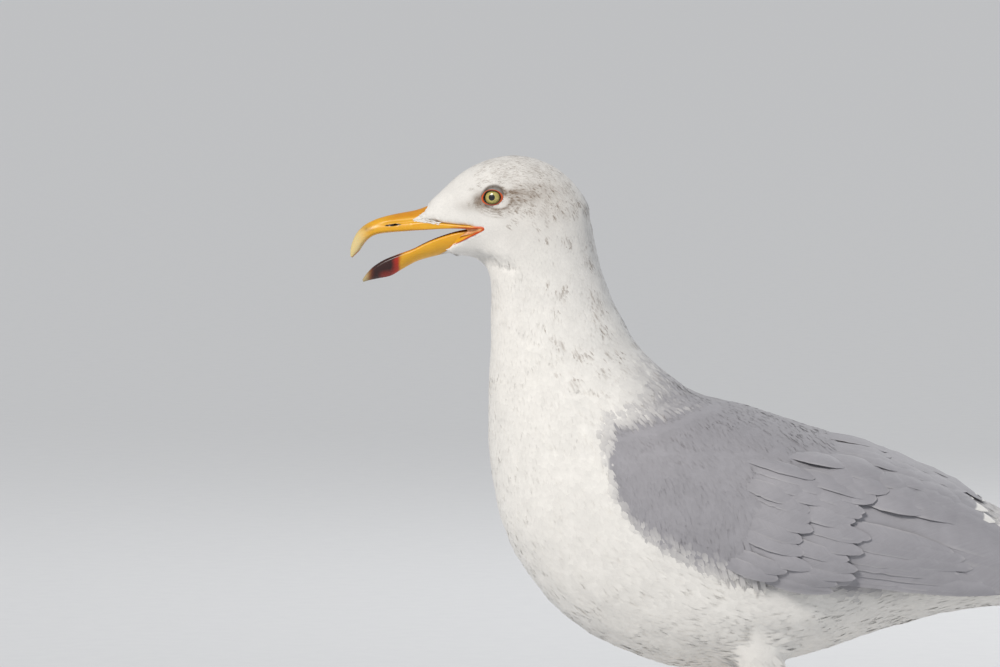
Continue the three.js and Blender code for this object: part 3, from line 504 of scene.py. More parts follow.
def wing_plate(side):
    i, j = grid(30, 18)
    front = front_edge(-18 + 70 * j)
    s = front + (274 - 24 * np.maximum(0, j - 0.5) ** 1.5 - front) * i**0.9
    turn = wing_low_edge(s) + (np.minimum(MOST_TURN, back_edge(s) + 2) - wing_low_edge(s)) * j
    rim = 0.4 + 0.6 * np.minimum(1, i * 5)
    depth = np.maximum(5.0, wing_depth(s) * rim * (1 - 0.62 * ease(0.2, 0, j)) + 1)
    top = on_form(s, turn, -OVER_SKIN - 5.5 * ease(0.14, 0, i) - 1.5 * ease(0.12, 0, j))
    return write_plate("wing_plate", top * [1, side, 1], on_form(s, turn, -depth) * [1, side, 1])


def back_plate(end=206.0, depth=15.0):
    i, j = grid(20, 17, -1)
    front = front_edge(90 - np.abs(j) * 36)
    s = front + (end - front) * i
    turn = 90 + j * (90 - back_edge(s) + 3)
    top = on_form(s, turn, -OVER_SKIN - 6.0 * ease(0.24, 0, i))
    return write_plate("back_plate", top, on_form(s, turn, np.full(s.shape, -depth)))


flesh = {name: copy_solid(name) for name in FLESH}
cut = {"plane_co": placed(TAIL_CUT), "plane_no": (1, 0, -0.25)}
edit_all(flesh["tail"], bpy.ops.mesh.bisect, **cut, use_fill=True, clear_outer=True)
for body in flesh.values():
    add_modifier(body, "swell", "DISPLACE", strength=SWELL, mid_level=0.0)
    apply_modifiers(body)
print("flesh copies:", len(flesh))

# %% Fuse and smooth the skin
torso = flesh.pop("torso")
skin = fused([torso, *flesh.values(), wing_plate(1), wing_plate(-1), back_plate()], "skin", 0.0019)
apply_modifiers(skin)
x, y, z = read_points(skin)[0].T
add_modifier(skin, "soften", "SMOOTH", factor=0.5, iterations=6)
for name, chosen, passes in (
    ("round_parts", (z < 338) & (z > 92), 40),
    ("round_bill", (x < -22) & (z > 335), 10),
    ("round_shoulder", (x > 46) & (x < 165) & (z > 228) & (z < 290), 160),
    ("round_wrist", (x > 48) & (x < 88) & (z > 150) & (z < 236) & (np.abs(y) > 40), 60),
):
    skin.vertex_groups.new(name=name).add(np.flatnonzero(chosen).tolist(), 1.0, "REPLACE")
    add_modifier(skin, name, "SMOOTH", factor=0.5, iterations=passes, vertex_group=name)
apply_modifiers(skin)
skin.vertex_groups.clear()
print("skin:", len(skin.data.polygons), "faces after the remesh")

# %% [markdown]
# Plumage is never a smooth tube. It parts along soft folds where the neck bends, under the chin and
# where the breast feathers lie over the front of the wing. Each fold is a short line on the bird's
# side with a height and a width, and a slow random swell runs over neck and breast.

# %% Folds of the plumage
FOLDS = [
    # from x, z, to x, z, height, width
    (-6, 336.0, 16, 331.8, -1.9, 4.2), (-4, 341.5, 12, 338.0, 0.7, 4.0), (45, 264, 62, 262, -0.7, 3.4),
    (44, 268, 64, 266.5, 0.5, 3.4), (70, 238.5, 126, 254, -0.9, 4.2), (54, 243, 72, 214, 1.2, 3.4),
    (8, 300, 30, 288, -0.5, 4.0), (20, 282, 50, 290, 0.4, 5.0),
]  # fmt: skip


def folds(points):
    x, y, z = points.T
    height = np.zeros(len(points))
    for from_x, from_z, to_x, to_z, amount, width in FOLDS:
        along = np.array([to_x - from_x, to_z - from_z], float)
        reach = np.linalg.norm(along)
        share = ((x - from_x) * along[0] + (z - from_z) * along[1]) / reach**2
        aside = np.abs((x - from_x) * along[1] - (z - from_z) * along[0]) / reach
        height += amount * np.exp(-((aside / width) ** 2)) * ease(-0.15, 0.15, share) * ease(1.15, 0.8, share)
    swell = 1.5 * (drift(points, 26, 71) - 0.5) + 0.7 * (drift(points, 12, 72) - 0.5)
    return height * ease(4, 14, np.abs(y)) + swell * ease(345, 315, z) * ease(90, 120, z)


points, facings = read_points(skin)
move_points(skin, points + facings * folds(points)[:, None])
print("folds:", len(FOLDS))

# %% [markdown]
# ## How long the feathers are
# The feathers of the face are a few millimetres long, those of the breast a few centimetres, and
# near the bill, the mouth and the bare ring of the eye they shorten to bristles. The skin is drawn
# in by the depth that the coat will have, so that the tips of the feathers reach the solids'
# surface and the bird keeps its size.

# %% Feather length and coat depth
BARE = ("bill_upper", "bill_lower", "eyelid_left", "eyelid_right", "eye_left", "eye_right")
HEAD_LOW = 320.0  # all bare parts lie above this height
FAR = 60.0  # stands for any distance at which a bare part makes no difference
COAT_DEPTH = 0.06  # of a feather's length, because feathers lie almost flat


def search_tree(*objects):
    points, faces, start = [], [], 0
    for one in objects:
        points.append(read_rows(one.data.vertices, "co", 3))
        faces.append(read_triangles(one) + start)
        start += len(one.data.vertices)
    return BVHTree.FromPolygons(np.vstack(points).tolist(), np.vstack(faces).tolist())


bare_tree = search_tree(*[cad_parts[name] for name in BARE])


def distance_to(tree, points):
    return np.array([1000 * tree.find_nearest(Vector(p))[3] for p in placed(points)])


def distance_to_bare(points):
    near = np.full(len(points), FAR)
    close = points[:, 2] > HEAD_LOW
    near[close] = distance_to(bare_tree, points[close])
    return near


length_by_step = through([
    [0, 3.4], [2, 3.8], [4, 5.0], [7, 6.0], [9, 6.8], [11, 8.5], [13, 11], [15, 13], [17, 17],
    [20, 20], [23, 21], [26, 21], [28, 20], [30, 18],
])  # fmt: skip


def feather_length(points, near):
    """Millimetres. The thighs' feathers shorten towards the legs, and all do beside bare parts."""
    length, z = length_by_step(step_and_height(points)[0]), points[:, 2]
    length = np.where(z < 122, np.minimum(length, 7 + 0.6 * np.maximum(0, z - 86)), length)
    return np.minimum(length, 2.2 + 0.55 * near)


def mouth_gap(x):
    """The heights of the roof and the floor of the open mouth near its corner."""
    return 353.9 - (x + 4.2) * 0.0233, 353.9 + (x + 4.2) * 0.527


points = read_points(skin)[0]
x, y, z = points.T
roof, floor = mouth_gap(x)
in_gap = ease(0.7, -0.2, z - roof) * ease(-0.7, 0.2, z - floor) * ease(-3.0, -4.6, x)
in_gap *= (x > -24) * ease(8, 12, np.abs(y))
points[:, 1] *= 1 - 0.13 * in_gap  # the cheek's skin turns in at the corner of the mouth
move_points(skin, points)
points, facings = read_points(skin)
near = distance_to_bare(points)
depth = COAT_DEPTH * feather_length(points, near) * ease(0.2, 5, near)
move_points(skin, points - facings * depth[:, None])
print("coat depth from", round(depth.min(), 2), "to", round(depth.max(), 2), "mm")

# %% [markdown]
# ## The pattern of the plumage
# Each point of skin and coat carries the same few numbers, worked out from its place: how grey it is,
# how brown, how dark, and a random share that sets each feather a little apart from the next. The
# dark is painted shade in the socket round the eye and under the brow. The brown is that of a winter
# head: a smudge before the eye, thin arcs under it, a soft patch behind it, fine streaks over the
# crown and small spots down the back of the neck, and over the whole head a faint painted shade. A
# streak is one feather's dark middle, so the markings give its chance and the feather itself carries it.

# %% Markings
EYE = np.array([3.1, -15.3, 372.2])
CROWN_END = float(np.interp(10.0, STEPS, MIDDLE_LENGTH))
# The thin arcs under the eye: how far out, how wide and how strong.
ARCS = ((6.7, 0.8, 0.7), (8.3, 0.45, 0.5), (9.7, 0.42, 0.42), (11.3, 0.4, 0.3))
DASH_LONG, DASH_WIDE = 7.0, 2.3  # the cell of the neck that holds one dash at most
GREY_LINE = (64, 241.5, 0.26)  # X, Z and slope of the mantle's front edge, where the grey starts
SOCKET_SHADE = (7.9, 7.1)  # how far from the eye's middle the painted shade of its socket starts, and is at its darkest


def spot(x, z, middle_x, middle_z, reach_x, reach_z):
    return np.exp(-(((x - middle_x) / reach_x) ** 2) - ((z - middle_z) / reach_z) ** 2)


def face_pigment(points):
    """The soft brown round the eye, and a faint painted shade over the head, worked out from the place alone.
    """
    x, y, z = np.moveaxis(points, -1, 0)
    ring, under = np.hypot(x - EYE[0], z - EYE[2]), np.arctan2(EYE[2] - z, x - EYE[0])
    low_arc = ease(-0.35, 0.35, under) * ease(2.9, 2.2, under)
    brown = 0.9 * spot(x, z, -5.6, 370.6, 3.4, 4.2) + 0.3 * spot(x, z, -12, 367.5, 6.5, 3.0)
    brown += 0.75 * np.exp(-(((ring - 6.6) / 1.1) ** 2)) * ease(0.2, -0.6, under)
    brown += 0.6 * spot(x, z, 12.5, 375.6, 6.0, 1.7)
    flat_ring = np.hypot((x - EYE[0] - 1.6) / 1.3, z - EYE[2]) + 0.9 * (drift(points, 4.0, 35) - 0.5)
    broken = 0.35 + 1.1 * drift(points * [0.5, 0.5, 1.4], 2.2, 36)
    for middle, width, amount in ARCS:
        brown += amount * np.exp(-(((flat_ring - middle) / width) ** 2)) * low_arc * broken
    patch = 0.3 * spot(x, z, 27, 375.5, 13, 5.5) + 0.26 * spot(x, z, 17, 371.5, 8, 4)
    brown += patch + 0.1 * spot(x, z, 36, 366, 14, 10)
    # Painted shade: a faint darkening over the whole head, for the shade that falls on it.
    painted_head_shade = 0.13 * spot(x, z, 24, 368, 36, 30)
    return np.clip(brown * ease(7, 13, np.abs(y)) + painted_head_shade, 0, 0.9)


def dashes(along, across, chance):
    """Short dark dashes, one at most in each cell of the unrolled body, where chance allows one."""
    fine = np.where(along < CROWN_END, 0.68, 1.0)  # the crown's dashes are smaller and closer
    along, across = along / fine, across / fine
    row = np.floor(across / DASH_WIDE)
    column = np.floor(along / DASH_LONG + 0.5 * (row % 2))
    cell = np.stack([column, row], -1)
    here, there, strong, drawn = (drift(cell, 1.0, seed) for seed in (81, 82, 83, 84))
    middle_along = (column - 0.5 * (row % 2) + 0.35 + 0.3 * here) * DASH_LONG
    middle_across = (row + 0.35 + 0.3 * there) * DASH_WIDE
    ahead, aside = (along - middle_along) / (1.6 + 1.5 * there), (across - middle_across) / (0.5 + 0.2 * here)
    strength = np.where(fine < 1, 0.24, 0.48) + 0.5 * strong
    return np.exp(-(ahead**4) - aside**2) * (drawn < chance) * strength


def markings(points):
    """Shares of grey and soft brown, and how likely a brown dash is at each place."""
    x, y, z = points.T
    _, step, height = unrolled(points)
    crown = 0.95 * ease(376, 384, z) * ease(-16, 2, x)
    behind_eye = 0.85 * spot(x, z, 30, 371, 22, 12) * ease(5, 10, np.abs(y))
    nape = 0.32 * ease(0.45, 0.8, height) * ease(7.5, 9, step) * ease(12, 10.5, step)
    hind_neck = 0.16 * ease(0.35, 0.6, height) * ease(10.5, 11.5, step) * ease(16, 14.4, step)
    chance = np.maximum(np.maximum(crown + behind_eye, nape), hind_neck)
    s, turn, outside = wing_place(points)
    ragged = 6 * (drift(points, 7, 5) - 0.5)
    line = z - (GREY_LINE[1] + GREY_LINE[2] * (x - GREY_LINE[0]))
    wing = ease(-1.5, 3.5, s - front_edge(np.minimum(turn, 25)) + ragged * 0.5)
    wing = wing * ease(-3, 1, turn - wing_low_edge(s)) * ease(2.0, -1.0, line + 0.3 * ragged)
    back = ease(72, 116, x + 2 * ragged) * ease(-1.5, 1.5, line)
    grey = np.maximum(wing, back) * ease(238, 224, s)
    grey = grey * (np.abs(outside) < 24) * (z < 285)
    return grey, face_pigment(points) * (1 - grey), chance * (1 - grey)


def dress(piece, points, grey, brown, dark):
    """Gives a bare surface the same kind of marks as the feathers on it; `dark` is painted shade."""
    give_values(piece, "marks", np.column_stack([grey, brown, dark, drift(points, 3, 4)]))
    give_values(piece, "along", np.ones(len(points)))


points = read_points(skin)[0]
grey, brown, chance = markings(points)
# Painted shade: the skin darkens in the socket round the eye, where lid and brow shade it.
from_eye = np.abs(points - [EYE[0], 0, 0]) - np.abs(EYE * [0, 1, 1])
painted_socket_shade = 0.7 * ease(*SOCKET_SHADE, np.linalg.norm(from_eye, axis=1))
dress(skin, points, grey, np.maximum(brown, 0.12 * chance), painted_socket_shade)
print("grey share of the skin:", round(float(grey.mean()), 2), "brown share:", round(float(brown.mean()), 3))

# %% [markdown]
# ## What the feathers are made of
# A feather is keratin. White ones hold no pigment and scatter light deep inside, so they are very
# bright and quite matt, with a soft sheen where the barbs catch light edgewise. Grey ones hold a
# little melanin, and the flight feathers' black ends a lot, which also makes them glossier. One
# helper adds a node with its settings and links. A number that is the same all over stays on the
# shader's own socket.

# %% The node helper and the feather materials
def node(material, kind, inputs=None, **settings):
    made = material.node_tree.nodes.new("ShaderNode" + kind)
    for key, value in settings.items():
        setattr(made, key, value)
    for key, value in (inputs or {}).items():
        if isinstance(value, bpy.types.NodeSocket):
            material.node_tree.links.new(value, made.inputs[key])
        else:
            made.inputs[key].default_value = value
    return made


def new_material(name):
    material = bpy.data.materials.new(name)
    material.use_nodes = True
    material.node_tree.nodes.clear()
    return material


def finish_material(material, inputs):
    shader = node(material, "BsdfPrincipled", inputs)
    node(material, "OutputMaterial", {"Surface": shader.outputs[0]})
    return material


# The black pigment is the quills' real black, and also the painted shade round the eye.
WHITE, GREY, BROWN, BLACK_AND_SHADE = "#f4f1ec", "#a3a1a6", "#7d6a58", "#1d1c1e"
BARB_PITCH = 0.011  # on the map that holds millimetres / 100


def feather_material(name, roughness, sheen, barbs=False):
    """Keratin. The marks choose between the pigments, and noise a few millimetres wide varies them."""
    m = new_material(name)
    marks = node(m, "Attribute", attribute_name="marks", attribute_type="GEOMETRY")
    shares = node(m, "SeparateColor", {"Color": marks.outputs["Color"]})
    along = node(m, "Attribute", attribute_name="along", attribute_type="GEOMETRY")
    place = node(m, "TexCoord").outputs["Object"]
    cloud = node(m, "TexNoise", {"Vector": place, "Scale": 110.0, "Detail": 3.0, "Roughness": 0.6})
    colour = paint(WHITE)
    for share, pigment in zip(shares.outputs, (GREY, BROWN, BLACK_AND_SHADE)):
        colour = node(m, "Mix", {0: share, 6: colour, 7: paint(pigment)}, data_type="RGBA").outputs[2]
    # A feather darkens towards its foot, partly for the grey down there and partly as painted shade
    # under the feathers that cover it. No two feathers are quite alike.
    foot = node(m, "MapRange", {"Value": along.outputs["Fac"], "From Max": 0.6, "To Min": 0.9, "To Max": 1.0})
    odd = node(m, "MapRange", {"Value": marks.outputs["Alpha"], "To Min": 0.965, "To Max": 1.02})
    middle = {"From Min": 0.3, "From Max": 0.7, "To Max": 1.03}
    patch = node(m, "MapRange", {"Value": cloud.outputs["Fac"], **middle, "To Min": 0.95})
    level = node(m, "Math", {0: foot.outputs[0], 1: odd.outputs[0]}, operation="MULTIPLY")
    level = node(m, "Math", {0: level.outputs[0], 1: patch.outputs[0]}, operation="MULTIPLY")
    colour = node(m, "VectorMath", {0: colour, "Scale": level.outputs[0]}, operation="SCALE")
    if barbs:
        # Barbs run out and forwards from the shaft. They are drawn coarser than the real ones, about
        # a millimetre apart, so that they show.
        laid = node(m, "SeparateXYZ", {"Vector": node(m, "UVMap", uv_map="barbs").outputs[0]})
        out = node(m, "Math", {0: laid.outputs[0]}, operation="ABSOLUTE")
        slant = node(m, "Math", {0: out.outputs[0], 1: 1.3, 2: laid.outputs[1]}, operation="MULTIPLY_ADD")
        wobble = {0: cloud.outputs["Fac"], 1: 0.012, 2: slant.outputs[0]}
        wobble = node(m, "Math", wobble, operation="MULTIPLY_ADD")
        comb = node(m, "Math", {0: wobble.outputs[0], 1: 2 * math.pi / BARB_PITCH}, operation="MULTIPLY")
        comb = node(m, "Math", {0: comb.outputs[0]}, operation="SINE")
        bump = node(m, "Bump", {"Height": comb.outputs[0], "Strength": 0.18, "Distance": 0.00012})
        spread = {"X": slant.outputs[0], "Y": out.outputs[0], "Z": marks.outputs["Alpha"]}
        hair = node(m, "CombineXYZ", spread)
        hair = node(m, "Mapping", {"Vector": hair.outputs[0], "Scale": (90.0, 9.0, 40.0)})
        hair = node(m, "TexNoise", {"Vector": hair.outputs[0], "Scale": 1.0, "Detail": 3.0, "Roughness": 0.7})
    else:
        # On a body feather the barbs part like hair, so the lines fan out from the shaft to the tip.
        fan = node(m, "Attribute", attribute_name="across", attribute_type="GEOMETRY")
        hair = node(m, "CombineXYZ", {"X": fan.outputs["Fac"], "Y": marks.outputs["Alpha"]})
        hair = node(m, "TexNoise", {"Vector": hair.outputs[0], "Scale": 4.5, "Detail": 3.0, "Roughness": 0.7})
        bump = node(m, "Bump", {"Height": hair.outputs["Fac"], "Strength": 0.5, "Distance": 0.00012})
    streak = node(m, "MapRange", {"Value": hair.outputs["Fac"], **middle, "To Min": 0.94})
    colour = node(m, "VectorMath", {0: colour.outputs[0], "Scale": streak.outputs[0]}, operation="SCALE")
    return finish_material(m, {
        "Base Color": colour.outputs[0], "Roughness": roughness, "Normal": bump.outputs[0],
        "Sheen Weight": sheen, "Sheen Roughness": 0.5, "Specular IOR Level": 0.3,
    })  # fmt: skip


contour_keratin = feather_material("contour feather keratin", 0.78, 0.25)
vane_keratin = feather_material("vaned feather keratin", 0.6, 0.15, barbs=True)
settle(skin, contour_keratin, "plumage", "head", "neck", "torso", "thigh_left", "thigh_right")

# %% [markdown]
# ## Tufts
# A small body feather is a soft fan: a short shaft, and barbs that part into a few points at the
# tip. The tuft below is such a fan as a closed, thin solid, a handful of faces with a low ridge.
# Six drawings of it are made, each a little different, and thousands of copies are planted on the
# skin, each turned the way the feathers lie and tilted up from its root.

# %% A fan of barbs
TIP_DROP = -0.055  # the tips bend back down on to the feathers below
FORK, RIDGE = 0.42, 0.022  # where along the feather its barbs part, and how high its shaft stands there
PATCH = 0.003  # the width of a feather's patch on the bake map
TURN_WIDTH = 24  # millimetres round the body for each radian, where the dashes are laid out
MOST_BROWN = 0.95


def fans(teeth, notch, seed, drawings=6):
    """Fans in shares of half width and length, and the triangles that close each of them."""
    rng = np.random.default_rng(seed)
    shapes = []
    for _ in range(drawings):
        tips = np.linspace(0.43, -0.43, teeth) + rng.uniform(-0.06, 0.06, teeth) * 3 / teeth
        reach = 1 - 1.1 * tips**2 - rng.uniform(0, 0.16, teeth)
        outline = [(0, 0, 0), (0.36, 0.16, 0.01), (0.5, FORK, 0.008)]
        for k in range(teeth):
            outline.append((tips[k], reach[k], TIP_DROP))
            if k < teeth - 1:
                depth = 1 - notch * rng.uniform(0.6, 1.3)
                x, y = (tips[k] + tips[k + 1]) / 2, (reach[k] + reach[k + 1]) / 2
                outline.append((x * depth, FORK + (y - FORK) * depth, RIDGE + (TIP_DROP - RIDGE) * depth))
        outline += [(-0.5, FORK, 0.008), (-0.36, 0.16, 0.01)]
        shapes.append(outline + [(0, FORK, RIDGE), (0, FORK, 0.012)])
    count = len(outline)
    k = np.arange(count)
    after = (k + 1) % count
    top = np.column_stack([np.full(count, count), k, after])
    low = np.column_stack([np.full(count, count + 1), after, k])
    return np.array(shapes), np.vstack([top, low])


def give_map(piece, name, places, corners):
    layer = piece.data.uv_layers.new(name=name)
    layer.data.foreach_set("uv", places.reshape(-1, 2)[corners].astype(np.float32).ravel())


def plant(name, slot, roots, way, out, lift, length, width, drawings, seed, **more):
    """One piece of coat: a fan at each root, lifted off the skin, with its values and its bake patch.

    `more` may hold how deep the roots sink, how the skin bends under the feathers, and their marks.
    Light on plumage follows the body more than each barb, so the fans' normals lean to the skin's."""
    rng = np.random.default_rng(seed)
    shapes, fan_faces = drawings
    shape = shapes[rng.integers(0, len(shapes), len(roots))]
    chance = rng.uniform(0, 1, len(roots))[:, None]
    # A feather's dark mark is painted shade; only the feathers round the eye are given it.
    keys = ("grey", "tip_grey", "dash", "dark")
    grey, tip_grey, dash, dark = (np.broadcast_to(more.get(key, 0.0), len(roots))[:, None] for key in keys)
    fall, out_at_tip = more.get("bend", (np.zeros(len(roots)), out))
    flat = unrolled(roots)[0][:, None]
    lift, wide, long = np.radians(lift)[:, None], width[:, None], length[:, None]
    ahead, up = way * np.cos(lift) + out * np.sin(lift), out * np.cos(lift) - way * np.sin(lift)
    sunk = roots - out * (more.get("sink", 0.0) * long)
    sunk, ahead, up, across, out = (v[:, None] for v in (sunk, ahead, up, np.cross(ahead, up), out))
    x, y, z = np.moveaxis(shape, -1, 0)
    made = sunk + across * x[..., None] * wide[..., None] + ahead * y[..., None] * long[..., None]
    made = made + up * z[..., None] * long[..., None] + out * fall[:, None, None] * y[..., None] ** 2

    count = shape.shape[1]
    faces = (np.arange(len(roots))[:, None, None] * count + fan_faces).reshape(-1, 3)
    corners = faces.ravel()
    piece = write_mesh(name, made.reshape(-1, 3), faces, closed=False)
    spots = dashes(flat[..., 0] + y * long, flat[..., 1] * TURN_WIDTH + x * wide, dash)
    brown = np.clip(face_pigment(made) * (0.75 + 0.5 * chance) + spots, 0, MOST_BROWN)
    marks = np.broadcast_arrays(np.clip(grey + (tip_grey - grey) * y, 0, 1), brown, dark, chance)
    give_values(piece, "marks", np.stack(marks, -1).reshape(-1, 4))
    give_values(piece, "along", y.ravel())
    give_values(piece, "across", (x * wide).ravel())
    place_on_map = [0.03, 0.5] + 0.94 * flat / [MIDDLE_LENGTH[-1], 2 * np.pi]
    give_map(piece, "OFBake", place_on_map + PATCH * (shape[..., :2] - [0, 0.5]), corners)

    # The rim's edges are sharp, or light would run round them from a fan's face to its back.
    edges = read_rows(piece.data.edges, "vertices", 2, np.int32)
    rim = (edges % count < count - 2).all(1)
    piece.data.attributes.new("sharp_edge", "BOOLEAN", "EDGE").data.foreach_set("value", rim)
    body = out * (1 - y[..., None]) + out_at_tip[:, None] * y[..., None]
    normals = unit(((up + across * x[..., None] * 0.7) * 0.3 + body).reshape(-1, 3))[corners]
    fan = len(fan_faces)
    normals[np.arange(len(corners)) // 3 % fan >= fan // 2] *= -1
    own_normals = piece.data.attributes.new("custom_normal", "FLOAT_VECTOR", "CORNER")
    own_normals.data.foreach_set("vector", normals.astype(np.float32).ravel())
    return settle(piece, contour_keratin, slot)


# %% [markdown]
# ## Where the roots go
# Feather roots are spread evenly, never in a grid and never at random, where two could share a
# spot. Places are drawn on the skin's triangles, and a place too near one already kept is dropped.
# Bigger feathers keep more room. Nothing grows in the mouth, in the eye socket or under the wings.

# %% Spreading roots over the skin
skin_corners = read_triangles(skin)
skin_points, skin_facings = read_points(skin)


def width_of(length):
    return np.interp(length, [2, 4, 6.5, 11, 20], [0.8, 1.15, 1.7, 2.7, 4.8])


def spread_roots(allowed, crowd, seed):
    """Even places on the skin. `crowd` is how many feathers lie over each other at any spot."""
    rng = np.random.default_rng(seed)
    faces = skin_corners[allowed(skin_points[skin_corners].mean(1))]
    triangles = skin_points[faces]
    a, b, c = triangles[:, 0], triangles[:, 1], triangles[:, 2]
    area = np.linalg.norm(np.cross(b - a, c - a), axis=1) / 2
    middle = triangles.mean(1)
    near = distance_to_bare(middle)
    length = feather_length(middle, near)
    per_area = crowd / (0.6 * length * width_of(length))
    expected = area * per_area * 2.2  # more than are kept, because many drop out below
    picks = rng.choice(len(faces), int(expected.sum()), p=expected / expected.sum())
    a, b = rng.uniform(0, 1, (2, len(picks)))
    fold = a + b > 1
    a[fold], b[fold] = 1 - a[fold], 1 - b[fold]
    share = np.column_stack([1 - a - b, a, b])[:, :, None]
    roots = (skin_points[faces[picks]] * share).sum(1)
    facing = unit((skin_facings[faces[picks]] * share).sum(1))
    room = 0.72 / np.sqrt(per_area[picks])
    tree = KDTree(len(roots))
    for k, root in enumerate(roots):
        tree.insert(root, k)
    tree.balance()
    kept = np.ones(len(roots), bool)
    for k in range(len(roots)):
        if kept[k]:
            for _, other, _ in tree.find_range(roots[k], room[k]):
                kept[other] &= other <= k
    return roots[kept], facing[kept], near[picks][kept]


skin_tree = search_tree(skin)
cover_tree = search_tree(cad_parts["primaries_left"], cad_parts["primaries_right"])
ABOVE, SEARCH = 15.0, 0.03  # rays to the skin start this many millimetres above it, and run 30 mm


def sees_out(roots, facings, tree, reach):
    return np.array([
        tree.ray_cast(Vector(p) + Vector(n) * 0.0001, Vector(n), reach / 1000)[0] is None
        for p, n in zip(placed(roots), facings)
    ], dtype=bool)  # fmt: skip


def follow_skin(roots, way, facing, length):
    """How far the skin falls or rises under each feather's tip, and which way it faces there."""
    fall, out = np.zeros(len(roots)), facing.copy()
    tips = placed(roots + way * length[:, None] + facing * ABOVE)
    for k, (tip, down) in enumerate(zip(tips, -facing)):
        place, normal, _, reach = skin_tree.ray_cast(Vector(tip), Vector(down), SEARCH)
        if place is not None:
            fall[k], out[k] = ABOVE - reach * 1000, normal
    most = 0.45 * length
    far = np.abs(fall) > most
    out[far] = facing[far]
    return np.clip(fall, -most, most), unit(out + facing * 0.3)


def turned(way, facing, angle):
    """A direction along the skin, turned on it."""
    return way * np.cos(angle)[:, None] + np.cross(facing, way) * np.sin(angle)[:, None]


def in_mouth(points, facings):
    x, _, z = points.T
    roof, floor = mouth_gap(x)
    inner = (z < roof + 0.9) & (z > floor - 0.9) & (np.abs(facings[:, 1]) < 0.6)
    return (x < -2.5) & (inner | ((z < roof - 0.1) & (z > floor + 0.1)))


def clear_of_parts(roots, facing, near):
    """Where no bill, eye or tail feather would have a body feather grow through it."""
    x, _, z = roots.T
    top_here = np.interp(x, TOP_LINE[:, 0], TOP_LINE[:, 1])
    clear = ~in_mouth(roots, facing) & (x < 331) & ((x < 305) | (facing[:, 0] < 0.4))
    clear &= ((x < 306) | (z < top_here + 2)) & ((x < 318) | (z < top_here - 7))
    from_eye = np.abs(roots * [0, 1, 1]) + roots * [1, 0, 0] - [EYE[0], -EYE[1], EYE[2]]
    gap = np.linalg.norm(from_eye, axis=1)
    clear &= gap > 6.3 + 0.9 * np.clip(-from_eye[:, 0] / gap * 1.5, 0, 1)
    return clear & ((near > 1.4) | (facing[:, 0] > -0.6))


def on_shield(roots, winged):
    """Which roots belong to a coat: on the wing, or off it and on the rump that the vanes leave bare."""
    s, turn, outside = wing_place(roots)
    on_wing = (s - front_edge(turn) > 1) & (turn - wing_low_edge(s) > 0.5) & (s < 300) & (np.abs(outside) < 9)
    if winged:
        return on_wing & (s < np.interp(turn, [-25, 15, 30, 60, 90], [102, 110, 124, 138, 152]))
    return ~on_wing | (s > 196) & (turn > 34)


def grow_coat(name, allowed, crowd, teeth, notch, tilt, seed, winged=False):
    roots, facing, near = spread_roots(allowed, crowd, seed)
    keep = on_shield(roots, winged) & clear_of_parts(roots, facing, near)
    roots, facing, near = roots[keep], facing[keep], near[keep]
    if not winged:
        keep = sees_out(roots, facing, cover_tree, 9)
        close = roots[:, 2] > HEAD_LOW
        keep[close] &= sees_out(roots[close], facing[close], bare_tree, 5)
        roots, facing, near = roots[keep], facing[keep], near[keep]
    rng = np.random.default_rng(seed + 1)
    length = feather_length(roots, near) * rng.uniform(0.85, 1.15, len(roots))
    way = lie_of_feathers(roots, facing)
    if winged:
        s, turn, _ = wing_place(roots)
        length = np.interp(s, [0, 60, 130], [12, 17, 22]) * rng.uniform(0.8, 1.2, len(roots))
        way = unit(form_point(s + 2, turn - 1.5) - form_point(s - 2, turn + 1.5))
        way[:, 1] *= np.sign(-roots[:, 1])
        way = along_skin(way, facing)
    way = turned(way, facing, np.radians(22 * (drift(roots, 15, seed) - 0.5) + rng.normal(0, 6, len(roots))))
    lift = tilt + 2.5 * (drift(roots, 11, seed + 2) - 0.5) + rng.normal(0, 0.7, len(roots))
    nape = spot(roots[:, 0], roots[:, 2], 55, 374, 5, 6)
    lift, length = np.maximum((lift + 9 * nape) * ease(0, 6, near), 3.2), length * (1 + 0.35 * nape)
    grey, _, dash = markings(roots)
    tip_grey = markings(roots + way * length[:, None])[0]
    mixed = 0.6 * rng.normal(0, 1, len(roots)) * grey * (1 - grey)
    grey, tip_grey = np.clip(grey + mixed, 0, 1), np.clip(tip_grey + mixed, 0, 1)
    width, slot = (0.62, "grey_plumage") if winged else (0.85, "plumage")
    more = {"grey": grey, "tip_grey": tip_grey, "dash": dash, "sink": 0.03}
    more["bend"] = follow_skin(roots, way, facing, length)
    width = width_of(length) * width
    plant(name, slot, roots, way, facing, lift, length, width, fans(teeth, notch, seed), seed, **more)


def between(low, high):
    """Places between two steps along the body."""
    def allowed(points):
        step = step_and_height(points)[0]
        return (step >= low) & (step < high)

    return allowed


grow_coat("coat_face", between(0, 6.6), 5.5, 3, 0.5, 5.5, 10)
grow_coat("coat_crown", between(6.6, 10.6), 5.5, 3, 0.5, 5.5, 11)
grow_coat("coat_neck", between(10.6, 15.2), 6.0, 5, 0.6, 4.6, 12)
grow_coat("coat_front", between(15.2, 20), 6.0, 7, 0.62, 4.2, 13)
grow_coat("coat_rear", between(20, 31), 5.0, 7, 0.62, 4.1, 14)
grow_coat("coat_wings", between(0, 31), 7.0, 6, 0.62, 4.6, 15, winged=True)

# %% [markdown]
# ## Vanes
# The large feathers of wing, back and tail are flat vanes with a rounded end and a shaft down the
# middle. Each is a thin closed plate: narrow at its hidden root, broad in the middle, slightly
# domed, with an edge that is never quite straight. It starts under its neighbours and rises so that
# its tip lies on top of the next row, which is how folded feathers shed rain.

# %% One vane, and many in one piece
WHITE_EDGE = 0.006  # half the width of the line where a white tip starts, for a length of 1


